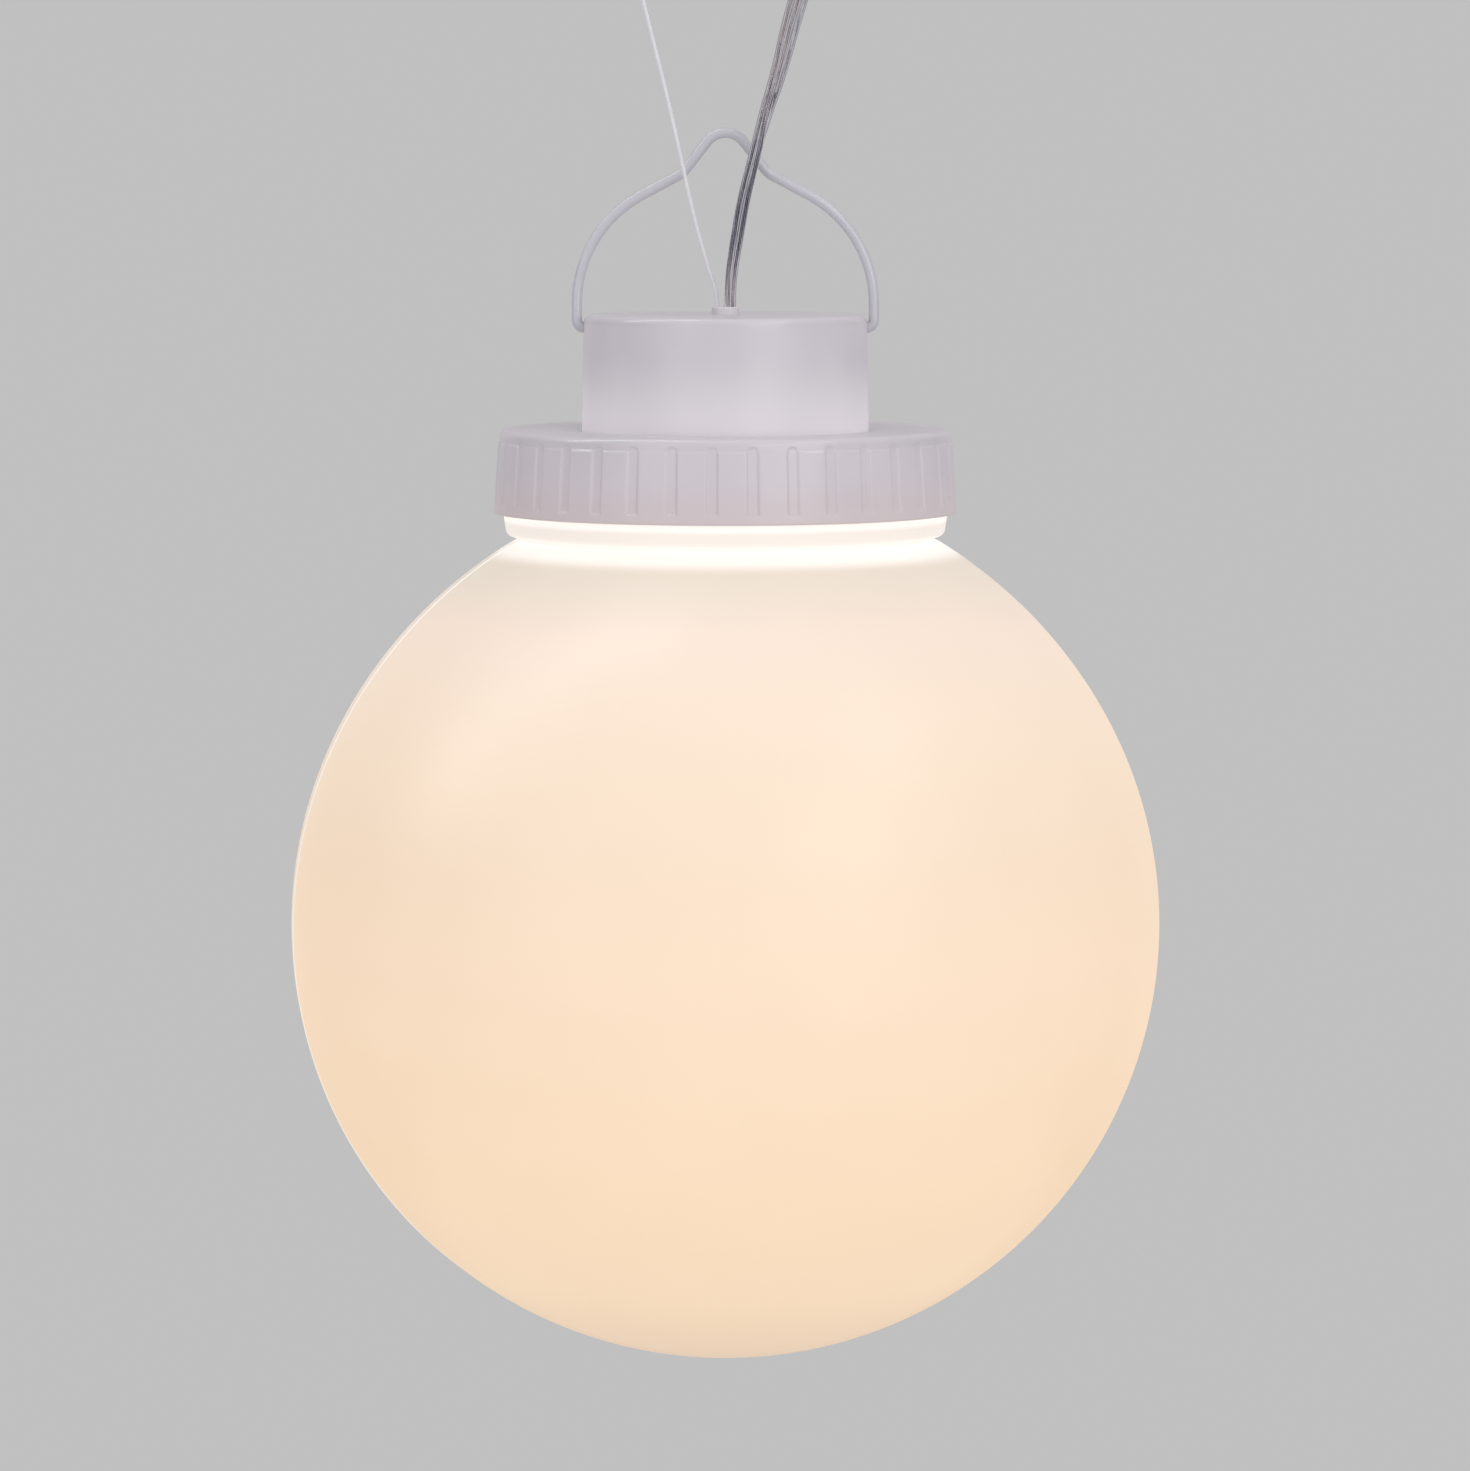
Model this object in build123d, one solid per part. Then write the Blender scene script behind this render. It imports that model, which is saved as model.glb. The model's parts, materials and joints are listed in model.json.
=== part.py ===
"""Garden globe light that hangs from a wire bail: a blown plastic globe, screwed by a ribbed
ring to a lamp head that holds the LED driver. Millimetres, +Z up, front towards -Y.
The origin is the hang point: the underside of the bail's crest."""

import os
from math import atan2, cos, degrees, radians, sin, sqrt, tan

from build123d import *

# clearances
pin_clearance = 0.08  # bail pin in its hole, on the radius
seat_gap = 0.2  # between parts that unscrew or turn on each other
slip_gap = 0.4  # ring hole round the housing, on the radius
screw_gap = 0.1  # screw shank in a drilled hole, on the radius

# bail: one bent steel wire
wire_diameter = 2.4
bail_side_gap = 0.4  # between the wire and the housing's side
bail_corner_radius = 1.8
bail_side_height = 22.38  # pivot to the corner that the bow rounds off
bail_bow_radius = 28.0
shoulder_half_width = 9.8
shoulder_slope = 28.0  # degrees below level, outside the hook seat
shoulder_radius = 5.0
seat_slope = 52.0  # degrees below level, on the flanks of the hook seat
seat_radius = 5.3
pin_depth = 4.4  # straight wire inside the housing's side

# lamp head housing: a round cup with a flange at its mouth
pivot_drop = 3.0
cap_height = 31.9
cap_top_radius = 32.4
cap_draft = 0.45  # how much wider the foot is, on the radius
cap_wall = 1.8
cap_corner_radius = 1.4
flange_thickness = 2.5
pin_boss_radius = 3.2
pin_boss_wall = 1.2
pillar_radius = 3.4
pillar_height = 6.6
pillar_wall_join = 0.8  # how far each pillar runs into the wall

# sealing ring between the flange and the globe's rim
seal_width = 2.5
seal_thickness = 1.6

# globe: one blown shell with a threaded neck
globe_radius = 100.0
globe_wall = 2.0
globe_shoulder_latitude = 30.0  # above it the shell is a little fuller than a sphere
globe_shoulder_radius = 107.0
neck_radius = 48.7
neck_length = 18.176  # shoulder to rim
neck_root_radius = 0.8
lip_width = 2.2
lip_taper = 0.6
lip_drop = 12.2
lip_height = 5.2
lip_foot_corner = 1.4
lip_top_corner = 0.4

# ribbed ring that holds the globe to the head
thread_gap = 0.9  # neck to ring, on the radius, where the threads mesh
ring_foot_wall = 3.5
ring_top_wall = 2.45
ring_lip_gap = 0.6
ring_edge_thickness = 3.0
ring_crown_thickness = 3.18  # the top is a low dome between its edge and its hole
ring_hole_thickness = 2.7
ring_corner_radius = 1.6
ring_foot_corner = 0.4
panel_height = 0.3
panel_top_drop = 2.9
groove_count = 36
groove_first = -93.2  # degrees from +X
groove_width = 2.5
groove_depth = 0.42
groove_foot = 2.3
groove_top_drop = 1.9

# LED plate and board
plate_thickness = 1.5
plate_seal_gap = 0.5
led_board_thickness = 1.6
led_board_margin = 5.5  # outer LED circle to the board's edge
led_length = 3.5
led_width = 2.8
led_height = 0.7
led_inner_circle = 10.0
led_middle_gap = 7.0  # middle LED circle to the screws' circle
led_outer_gap = 6.5  # screws' circle to the outer LED circle
led_counts = (6, 12, 20)
board_screw_count = 4
board_screw_first = 45.0  # degrees from +X
board_screw_radius = 1.5
board_screw_length = 8.0
screw_head_radius = 2.75
screw_head_height = 1.9

# driver: a round board on three pillars, with its parts
driver_radius = 26.5
driver_thickness = 1.6
standoff_height = 8.0
standoff_radius = 2.5
standoff_spigot_radius = 1.4
standoff_circle_radius = 22.0
standoff_count = 3
standoff_first = 90.0  # degrees from +X
driver_screw_radius = 1.25
driver_screw_length = 6.0
driver_head_radius = 2.4
driver_head_height = 1.6
capacitor_radius = 5.0
capacitor_height = 13.0
capacitor_rounding = 0.6
inductor_radius = 5.5
inductor_height = 9.0
inductor_waist = 1.2
rectifier_size = (6.4, 8.6, 3.2)
chip_size = (4.9, 3.9, 1.5)
block_size = (15.0, 8.0, 7.0)
block_well_radius = 1.6
block_well_depth = 2.0
block_well_setback = 2.0  # screw wells, in front of the block's middle line
block_entry_setback = 1.5  # core entries, behind it
capacitor_place = (-13.0, 5.0)
inductor_place = (13.0, 4.0)
rectifier_place = (0.0, 8.5)
chip_place = (12.0, -7.0)
block_place = (0.0, -14.0)
lead_hole_place = (0.0, 15.5)
lead_hole_radius = 3.1

# cable entry
gland_radius = 3.1
gland_rise = 1.8
gland_rounding = 0.4
gland_shank_radius = 2.9
gland_shank_length = 4.6
gland_nut_thickness = 2.2
gland_nut_flats = 8.0
cable_diameter = 3.2
cable_place = 0.85  # x of the cable's hole in the gland
cord_diameter = 0.9
cord_place = -1.9
bore_gap = 0.05
stop_knot_radius = 0.9
stop_knot_length = 2.2
tie_width = 2.5
tie_thickness = 1.1
tie_head_width = 3.2
tie_drop = 0.3  # below the cord's stop knot
tail_drop = 1.0  # cable left below its tie
core_diameter = 1.4
core_circle_radius = 0.85
core_bend_radius = 0.9
core_level_step = 0.8
lead_diameter = 1.3
lead_bend_radius = 1.3
lead_top_spread = 3.0
lead_top_offset = 3.5
lead_top_drop = 2.6
lead_foot_rise = 1.6

# what the cable and the cord end in, above the view
plug_body_radius = 4.6
plug_body_length = 15.0
plug_neck_radius = 2.6
plug_neck_taper = 0.9
plug_neck_length = 6.0
plug_nut_radius = 5.6
plug_nut_length = 7.0
plug_pin_radius = 2.75
plug_pin_length = 9.5
plug_rounding = 0.6
loop_radius = 5.0
knot_radius = 1.5
knot_length = 3.6


# radii, worked out from the neck and from the housing
ring_inner_radius = neck_radius + thread_gap
ring_foot_radius = ring_inner_radius + ring_foot_wall
ring_top_radius = ring_inner_radius + ring_top_wall
lip_radius = neck_radius + lip_width
neck_inner_radius = neck_radius - globe_wall
flange_radius = ring_inner_radius - slip_gap
plate_radius = neck_inner_radius - plate_seal_gap
cap_foot_radius = cap_top_radius + cap_draft
cap_inner_radius = cap_top_radius - cap_wall
pillar_circle_radius = cap_inner_radius - pillar_radius + pillar_wall_join
led_circle_radii = (
    led_inner_circle,
    pillar_circle_radius - led_middle_gap,
    pillar_circle_radius + led_outer_gap,
)
led_board_radius = led_circle_radii[-1] + led_board_margin
ring_hole_radius = cap_foot_radius + slip_gap
bail_half_span = cap_top_radius + bail_side_gap + wire_diameter / 2

# the shoulder's arc, in the globe's own frame: its centre and where it meets the neck
shoulder_turn = radians(globe_shoulder_latitude)
shoulder_shift = globe_shoulder_radius - globe_radius
shoulder_x = -shoulder_shift * cos(shoulder_turn)
shoulder_z = -shoulder_shift * sin(shoulder_turn)


def shoulder_end(inset):
    """Where the shell's line, this far inside its outer face, meets the neck's."""
    x = neck_radius - inset
    radius = globe_shoulder_radius - inset
    return x, shoulder_z + sqrt(radius**2 - (x - shoulder_x) ** 2)


# levels, worked down from the hang point
shoulder_height = bail_side_height + (bail_half_span - shoulder_half_width) * tan(
    radians(shoulder_slope)
)
crest_corner = shoulder_height + shoulder_half_width * tan(radians(seat_slope))
crest_height = crest_corner - seat_radius * (1 / cos(radians(seat_slope)) - 1)
pivot_z = wire_diameter / 2 - crest_height
cap_top = pivot_z + pivot_drop
flange_under = cap_top - cap_height
flange_top = flange_under + flange_thickness
rim_z = flange_under - seal_thickness - seat_gap
globe_z = rim_z - neck_length - shoulder_end(0)[1]
lip_top = rim_z - lip_drop
lip_foot = lip_top - lip_height
ring_under = flange_top + seat_gap
ring_edge = ring_under + ring_edge_thickness
ring_crown = ring_under + ring_crown_thickness
ring_hole_top = ring_under + ring_hole_thickness
ring_foot = lip_top + ring_lip_gap
cap_roof = cap_top - cap_wall
plate_under = flange_under - plate_thickness
board_under = plate_under - led_board_thickness
driver_under = flange_under + standoff_height
driver_top = driver_under + driver_thickness
gland_top = cap_top + gland_rise
gland_under = cap_top - gland_shank_length
tie_top = gland_under - stop_knot_length - tie_drop
tail_end = tie_top - tie_width - tail_drop


def turned(points):
    """A solid turned about Z from (radius, z) corners."""
    return revolve(Plane.XZ * make_face(Polyline(*points, close=True)), Axis.Z)


def round_bar(radius, low, high, at=(0, 0)):
    """A round bar along Z between two levels."""
    bar = Cylinder(radius, high - low, align=(Align.CENTER, Align.CENTER, Align.MIN))
    return Pos(at[0], at[1], low) * bar


def block(size, low, at=(0, 0), turn=0):
    """A box that stands on a level."""
    box = Box(*size, align=(Align.CENTER, Align.CENTER, Align.MIN))
    return Pos(at[0], at[1], low) * Rot(0, 0, turn) * box


def on_circle(radius, count, first=0.0):
    """Places spread evenly on a circle about Z, each with its angle in degrees."""
    angles = [first + i * 360 / count for i in range(count)]
    return [(radius * cos(radians(a)), radius * sin(radians(a)), a) for a in angles]


def tube(points, diameter, radii):
    """A round bar swept along straight runs that are joined by tangent arcs."""
    path = FilletPolyline(*points, radius=radii)
    start = Plane(path @ 0, z_dir=path % 0)
    return sweep(start * Circle(diameter / 2), path), path


def easy_radii(points):
    """For each corner, 0.45 of its shorter run over the tangent of half its turn."""
    radii = []
    for before, here, after in zip(points, points[1:], points[2:]):
        arriving, leaving = Vector(*here) - Vector(*before), Vector(*after) - Vector(*here)
        half_turn = radians(arriving.get_angle(leaving)) / 2
        radii.append(0.45 * min(arriving.length, leaving.length) / tan(half_turn))
    return radii


def circle_at(solid, radius, level):
    """The round edge about Z that has this radius and lies at this level."""
    for edge in solid.edges().filter_by(GeomType.CIRCLE):
        if abs(edge.radius - radius) < 0.01 and abs(edge.arc_center.Z - level) < 0.01:
            return edge
    raise ValueError(f"no round edge of radius {radius} at {level}")


def save(name, *solids):
    """Writes one node; several solids stay separate in it."""
    shape = solids[0] if len(solids) == 1 else Compound(children=list(solids))
    export_step(shape, f"parts/{name}.step")


def make_bail():
    right = [
        (cap_top_radius - pin_depth, 0),
        (bail_half_span, 0),
        (bail_half_span, bail_side_height),
        (shoulder_half_width, shoulder_height),
    ]
    left = [(-x, z) for x, z in reversed(right)]
    points = [(x, 0, pivot_z + z) for x, z in right + [(0, crest_corner)] + left]
    side = [bail_corner_radius, bail_bow_radius, shoulder_radius]
    solid, path = tube(points, wire_diameter, side + [seat_radius] + side[::-1])
    return solid


def pin_holes(radius, reach):
    """Bars on the pivot line, from reach out through each side of the housing."""
    length = cap_foot_radius + 1 - reach
    bar = Rot(0, 90, 0) * Cylinder(radius, length)
    middle = reach + length / 2
    return [Pos(side * middle, 0, pivot_z) * bar for side in (-1, 1)]


def make_cap_housing():
    outside = turned(
        [
            (0, flange_under),
            (flange_radius, flange_under),
            (flange_radius, flange_top),
            (cap_foot_radius, flange_top),
            (cap_foot_radius, ring_hole_top),
            (cap_top_radius, cap_top),
            (0, cap_top),
        ]
    )
    rim = outside.edges().filter_by(GeomType.CIRCLE).sort_by(Axis.Z)[-1]
    outside = fillet(rim, cap_corner_radius)
    inside = round_bar(cap_inner_radius, flange_under, cap_roof)
    boss_end = cap_top_radius - pin_depth - seat_gap
    bosses = pin_holes(pin_boss_radius, boss_end - pin_boss_wall)
    pillars = [
        round_bar(pillar_radius, flange_under, flange_under + pillar_height, (x, y))
        for x, y, _ in on_circle(pillar_circle_radius, board_screw_count, board_screw_first)
    ]
    inner_solid = Part() + [
        boss & round_bar(cap_inner_radius, flange_under, cap_roof) for boss in bosses + pillars
    ]
    housing = outside - inside + inner_solid
    housing -= pin_holes(wire_diameter / 2 + pin_clearance, boss_end)
    screw_top = plate_under - led_board_thickness + board_screw_length + seat_gap
    housing -= [
        round_bar(board_screw_radius + screw_gap, flange_under, screw_top, (x, y))
        for x, y, _ in on_circle(pillar_circle_radius, board_screw_count, board_screw_first)
    ]
    housing -= round_bar(gland_shank_radius + bore_gap, cap_roof, cap_top)
    return housing


def make_sealing_ring():
    inner = neck_inner_radius - (seal_width - globe_wall) / 2
    outer = inner + seal_width
    ring = round_bar(outer, flange_under - seal_thickness, flange_under)
    return ring - round_bar(inner, flange_under - seal_thickness, flange_under)


def globe_side(inset):
    """The shell's line from the bottom pole up to the neck, and its end point there."""
    radius = globe_radius - inset
    big = globe_shoulder_radius - inset
    end = shoulder_end(inset)
    turn = (radius * cos(shoulder_turn), radius * sin(shoulder_turn))
    half = (shoulder_turn - radians(90)) / 2
    low = (radius * cos(half), radius * sin(half))
    middle = (shoulder_turn + atan2(end[1] - shoulder_z, end[0] - shoulder_x)) / 2
    high = (shoulder_x + big * cos(middle), shoulder_z + big * sin(middle))
    return [ThreePointArc((0, -radius), low, turn), ThreePointArc(turn, high, end)], end


def make_globe():
    outer_line, outer_end = globe_side(0)
    inner_line, inner_end = globe_side(globe_wall)
    rim = rim_z - globe_z
    lip_low, lip_high = lip_foot - globe_z, lip_top - globe_z
    neck = Polyline(
        outer_end,
        (neck_radius, lip_low),
        (lip_radius - lip_taper, lip_low),
        (lip_radius, lip_high),
        (neck_radius, lip_high),
        (neck_radius, rim),
        (neck_inner_radius, rim),
        inner_end,
    )
    pole = Line((0, -globe_radius + globe_wall), (0, -globe_radius))
    section = make_face(outer_line + [neck] + inner_line + [pole])
    shell = revolve(Plane.XZ * section, Axis.Z)
    for radius, level, rounding in (
        (neck_radius, outer_end[1], neck_root_radius),
        (lip_radius - lip_taper, lip_low, lip_foot_corner),
        (lip_radius, lip_high, lip_top_corner),
    ):
        shell = fillet(circle_at(shell, radius, level), rounding)
    return Pos(0, 0, globe_z) * shell


def make_ring():
    drop = ring_edge - panel_top_drop
    base_radius = ring_top_radius - panel_height
    crown_radius = (base_radius + ring_hole_radius) / 2
    outline = Polyline(
        (ring_hole_radius, ring_hole_top),
        (ring_hole_radius, ring_under),
        (ring_inner_radius, ring_under),
        (ring_inner_radius, ring_foot),
        (ring_foot_radius, ring_foot),
        (ring_top_radius, drop),
        (base_radius, drop),
        (base_radius, ring_edge),
    )
    crown = ThreePointArc(outline @ 1, (crown_radius, ring_crown), outline @ 0)
    ring = revolve(Plane.XZ * make_face([outline, crown]), Axis.Z)
    ring = fillet(circle_at(ring, base_radius, ring_edge), ring_corner_radius)
    ring = fillet(circle_at(ring, ring_foot_radius, ring_foot), ring_foot_corner)

    # each groove follows the ring's slope and has a round top
    foot = ring_foot + groove_foot
    top = ring_edge - groove_top_drop
    slope = degrees(atan2(ring_foot_radius - ring_top_radius, drop - ring_foot))
    height = top - foot
    groove = Pos(0, (height - groove_width / 2) / 2) * Rectangle(
        groove_width, height - groove_width / 2
    ) + Pos(0, height - groove_width / 2) * Circle(groove_width / 2)
    foot_radius = ring_foot_radius - groove_foot * tan(radians(slope))
    cutter_face = Plane(
        origin=(foot_radius - groove_depth, 0, foot),
        x_dir=(0, 1, 0),
        z_dir=(cos(radians(slope)), 0, sin(radians(slope))),
    )
    cutter = extrude(cutter_face * groove, 4 * groove_depth)
    # the blank is turned so that its seam lies in the middle of a panel
    ring = Rot(0, 0, groove_first + 180 / groove_count) * ring
    for _, _, angle in on_circle(0, groove_count, groove_first):
        ring -= Rot(0, 0, angle) * cutter
    return ring


def board_screw_places():
    return on_circle(pillar_circle_radius, board_screw_count, board_screw_first)


def make_heat_plate():
    plate = round_bar(plate_radius, plate_under, flange_under)
    radius = board_screw_radius + screw_gap
    plate -= [round_bar(radius, plate_under, flange_under, p[:2]) for p in board_screw_places()]
    plate -= [
        round_bar(standoff_spigot_radius + bore_gap, plate_under, flange_under, p[:2])
        for p in on_circle(standoff_circle_radius, standoff_count, standoff_first)
    ]
    return plate - round_bar(lead_hole_radius, plate_under, flange_under, lead_hole_place)


def make_led_board():
    board = round_bar(led_board_radius, board_under, plate_under)
    radius = board_screw_radius + screw_gap
    return board - [
        round_bar(radius, board_under, plate_under, p[:2]) for p in board_screw_places()
    ]


def make_leds():
    leds = []
    for radius, count in zip(led_circle_radii, led_counts):
        for x, y, turn in on_circle(radius, count, first=180 / count):
            size = (led_length, led_width, led_height)
            leds.append(block(size, board_under - led_height, (x, y), turn))
    return leds


def make_board_screws():
    screws = []
    for x, y, _ in board_screw_places():
        head = round_bar(screw_head_radius, board_under - screw_head_height, board_under, (x, y))
        low_edge = head.edges().filter_by(GeomType.CIRCLE).sort_by(Axis.Z)[0]
        head = fillet(low_edge, screw_head_height / 2)
        shank_top = board_under + board_screw_length
        screws.append(head + round_bar(board_screw_radius, board_under, shank_top, (x, y)))
    return screws


def standoff_places():
    return on_circle(standoff_circle_radius, standoff_count, standoff_first)


def make_standoffs():
    posts = []
    for x, y, _ in standoff_places():
        hexagon = RegularPolygon(standoff_radius, 6, major_radius=False)
        post = Pos(x, y, flange_under) * extrude(hexagon, standoff_height)
        post += round_bar(standoff_spigot_radius, plate_under, flange_under, (x, y))
        depth = driver_screw_length - driver_thickness + seat_gap
        hole = driver_screw_radius + screw_gap
        posts.append(post - round_bar(hole, driver_under - depth, driver_under, (x, y)))
    return posts


def make_driver_board():
    board = round_bar(driver_radius, driver_under, driver_top)
    radius = driver_screw_radius + screw_gap
    return board - [
        round_bar(radius, driver_under, driver_top, p[:2]) for p in standoff_places()
    ]


def make_driver_screws():
    screws = []
    for x, y, _ in standoff_places():
        head = round_bar(driver_head_radius, driver_top, driver_top + driver_head_height, (x, y))
        shank = round_bar(driver_screw_radius, driver_top - driver_screw_length, driver_top, (x, y))
        screws.append(head + shank)
    return screws


def make_capacitor():
    can = round_bar(capacitor_radius, driver_top, driver_top + capacitor_height, capacitor_place)
    top_edge = can.edges().filter_by(GeomType.CIRCLE).sort_by(Axis.Z)[-1]
    return fillet(top_edge, capacitor_rounding)


def make_inductor():
    third = inductor_height / 3
    waist = inductor_radius - inductor_waist
    core = turned(
        [
            (0, 0),
            (inductor_radius, 0),
            (inductor_radius, third / 2),
            (waist, third / 2),
            (waist, inductor_height - third / 2),
            (inductor_radius, inductor_height - third / 2),
            (inductor_radius, inductor_height),
            (0, inductor_height),
        ]
    )
    return Pos(*inductor_place, driver_top) * core


def core_ways():
    """Each supply core: its x and y in the cable, its x in the block and its level between."""
    spread = block_size[0] / 3
    level = (driver_top + block_size[2] + tail_end) / 2
    ways = []
    for angle, place, step in ((210, -spread, 1), (90, 0, -1), (330, spread, 1)):
        x = cable_place + core_circle_radius * cos(radians(angle))
        y = core_circle_radius * sin(radians(angle))
        ways.append((x, y, place, level + step * core_level_step))
    return ways


def make_terminal_block():
    body = block(block_size, driver_top, block_place)
    top = driver_top + block_size[2]
    for _, _, place, _ in core_ways():
        # the screw wells lie in front of the core entries
        at = (place, block_place[1] - block_well_setback)
        body -= round_bar(block_well_radius, top - block_well_depth, top, at)
    return body


def make_supply_cores():
    cores = []
    for x, y, place, level in core_ways():
        end_y = block_place[1] + block_entry_setback
        points = [(x, y, tail_end), (x, y, level), (place, end_y, level)]
        points.append((place, end_y, driver_top + block_size[2]))
        cores.append(tube(points, core_diameter, [core_bend_radius] * 2)[0])
    return cores


def make_led_lead(side):
    x, y = side * lead_diameter, lead_hole_place[1]
    top_x, top_y = side * lead_top_spread, y + lead_top_offset
    points = [(top_x, top_y, driver_under), (top_x, top_y, driver_under - lead_top_drop)]
    points += [(x, y, flange_under + lead_foot_rise), (x, y, plate_under)]
    return tube(points, lead_diameter, [lead_bend_radius] * 2)[0]


def make_gland():
    gland = round_bar(gland_shank_radius, gland_under, cap_top)
    head = round_bar(gland_radius, cap_top, gland_top)
    top_edge = head.edges().filter_by(GeomType.CIRCLE).sort_by(Axis.Z)[-1]
    gland += fillet(top_edge, gland_rounding)
    for place, diameter in ((cable_place, cable_diameter), (cord_place, cord_diameter)):
        gland -= round_bar(diameter / 2 + bore_gap, gland_under, gland_top, (place, 0))
    return gland


def make_gland_nut():
    nut = extrude(RegularPolygon(gland_nut_flats / 2, 6, major_radius=False), gland_nut_thickness)
    nut = Pos(0, 0, cap_roof - gland_nut_thickness) * nut
    hole = gland_shank_radius + bore_gap
    return nut - round_bar(hole, cap_roof - gland_nut_thickness, cap_roof)


def make_cable_tail():
    return round_bar(cable_diameter / 2, tail_end, gland_top, (cable_place, 0))


def make_cable_tie():
    inner = cable_diameter / 2 + bore_gap
    low = tie_top - tie_width
    ring = round_bar(inner + tie_thickness, low, tie_top) - round_bar(inner, low, tie_top)
    head_size = (tie_head_width, tie_head_width, tie_width)
    head = block(head_size, low, (0, inner + tie_thickness / 2 + tie_head_width / 2))
    return Pos(cable_place, 0, 0) * (ring + head)


def aimed(start, direction):
    """The place of a solid that is drawn along Z, moved to start and turned to a direction."""
    return Plane(origin=start, z_dir=direction).location


def make_connector(start, direction):
    """An in-line connector: tapered strain relief, body, coupling nut and round plug."""
    body_end = plug_neck_length + plug_body_length
    nut_end = body_end + plug_nut_length
    shape = turned(
        [
            (0, 0),
            (plug_neck_radius, 0),
            (plug_neck_radius + plug_neck_taper, plug_neck_length),
            (plug_body_radius, plug_neck_length),
            (plug_body_radius, body_end),
            (plug_nut_radius, body_end),
            (plug_nut_radius, nut_end),
            (plug_pin_radius, nut_end),
            (plug_pin_radius, nut_end + plug_pin_length),
            (0, nut_end + plug_pin_length),
        ]
    )
    for radius, level in (
        (plug_body_radius, plug_neck_length),
        (plug_nut_radius, body_end),
        (plug_nut_radius, nut_end),
    ):
        shape = fillet(circle_at(shape, radius, level), plug_rounding)
    return aimed(start, direction) * shape


def make_cord_loop(start, direction):
    """The cord's tied loop: a wound knot with a ring of cord on top."""
    knot = round_bar(knot_radius, 0, knot_length)
    knot = fillet(knot.edges().filter_by(GeomType.CIRCLE), knot_radius / 3)
    ring = Rot(90, 0, 0) * Torus(loop_radius, cord_diameter / 2)
    ring = Pos(0, 0, knot_length + loop_radius - cord_diameter / 4) * ring
    return aimed(start, direction) * (knot + ring)


def make_cord_knot():
    """The stop knot that keeps the cord in the gland."""
    low = gland_under - stop_knot_length
    knot = round_bar(stop_knot_radius, low, gland_under, (cord_place, 0))
    return fillet(knot.edges().filter_by(GeomType.CIRCLE), stop_knot_radius / 3)


# routes of the free cable and cord above the gland, points chosen by hand
cable_route = [
    (cable_place, 0.0, gland_top),
    (cable_place, 0.0, -33.0),
    (2.3, -2.0, -24.2),
    (4.2, -4.5, -13.8),
    (6.9, -6.5, -3.8),
    (9.2, -7.4, 5.4),
    (12.4, -8.0, 15.4),
    (14.8, -8.7, 25.8),
    (17.7, -9.1, 35.0),
]
cord_route = [
    (cord_place, 0.0, gland_top),
    (cord_place, 0.0, -35.6),
    (-3.7, -1.2, -30.4),
    (-7.3, -3.6, -17.6),
    (-10.5, -5.6, -2.6),
    (-13.9, -6.6, 12.2),
    (-17.0, -7.3, 24.2),
    (-19.5, -7.8, 34.8),
]


def make_free_cord(name, route, diameter):
    """The tube along a route, checked against its section times its length."""
    radii = easy_radii(route)
    solid, path = tube(route, diameter, radii)
    share = solid.volume / (path.length * Circle(diameter / 2).area)
    print(name, "length", round(path.length, 1), "volume share", round(share, 4))
    print(name, "radii", [round(r, 1) for r in radii])
    return solid


def last_way(route):
    return Vector(*route[-1]) - Vector(*route[-2])


def main():
    os.makedirs("parts", exist_ok=True)
    save("bail", make_bail())
    save("cap_housing", make_cap_housing())
    save("sealing_ring", make_sealing_ring())
    save("globe", make_globe())
    save("collar", make_ring())
    save("heat_plate", make_heat_plate())
    save("led_board", make_led_board())
    save("led_chips", *make_leds())
    save("board_screws", *make_board_screws())
    save("standoffs", *make_standoffs())
    save("driver_board", make_driver_board())
    save("driver_screws", *make_driver_screws())
    save("capacitor", make_capacitor())
    save("inductor", make_inductor())
    save("rectifier", block(rectifier_size, driver_top, rectifier_place))
    save("controller_chip", block(chip_size, driver_top, chip_place))
    save("terminal_block", make_terminal_block())
    save("supply_cores", *make_supply_cores())
    save("led_lead_red", make_led_lead(1))
    save("led_lead_black", make_led_lead(-1))
    save("cable_gland", make_gland())
    save("gland_nut", make_gland_nut())
    save("cable_tail", make_cable_tail())
    save("cable_tie", make_cable_tie())
    save("cord_tail", round_bar(cord_diameter / 2, gland_under, gland_top, (cord_place, 0)))
    save("cord_knot", make_cord_knot())
    save("clear_cable", make_free_cord("clear_cable", cable_route, cable_diameter))
    save("cable_connector", make_connector(cable_route[-1], last_way(cable_route)))
    save("hang_cord", make_free_cord("hang_cord", cord_route, cord_diameter))
    save("cord_loop", make_cord_loop(cord_route[-1], last_way(cord_route)))


main()
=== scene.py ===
import json
from math import acos, cos, degrees, hypot, pi, radians, sin, tan

import bmesh
import bpy
from mathutils import Matrix, Vector

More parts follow.
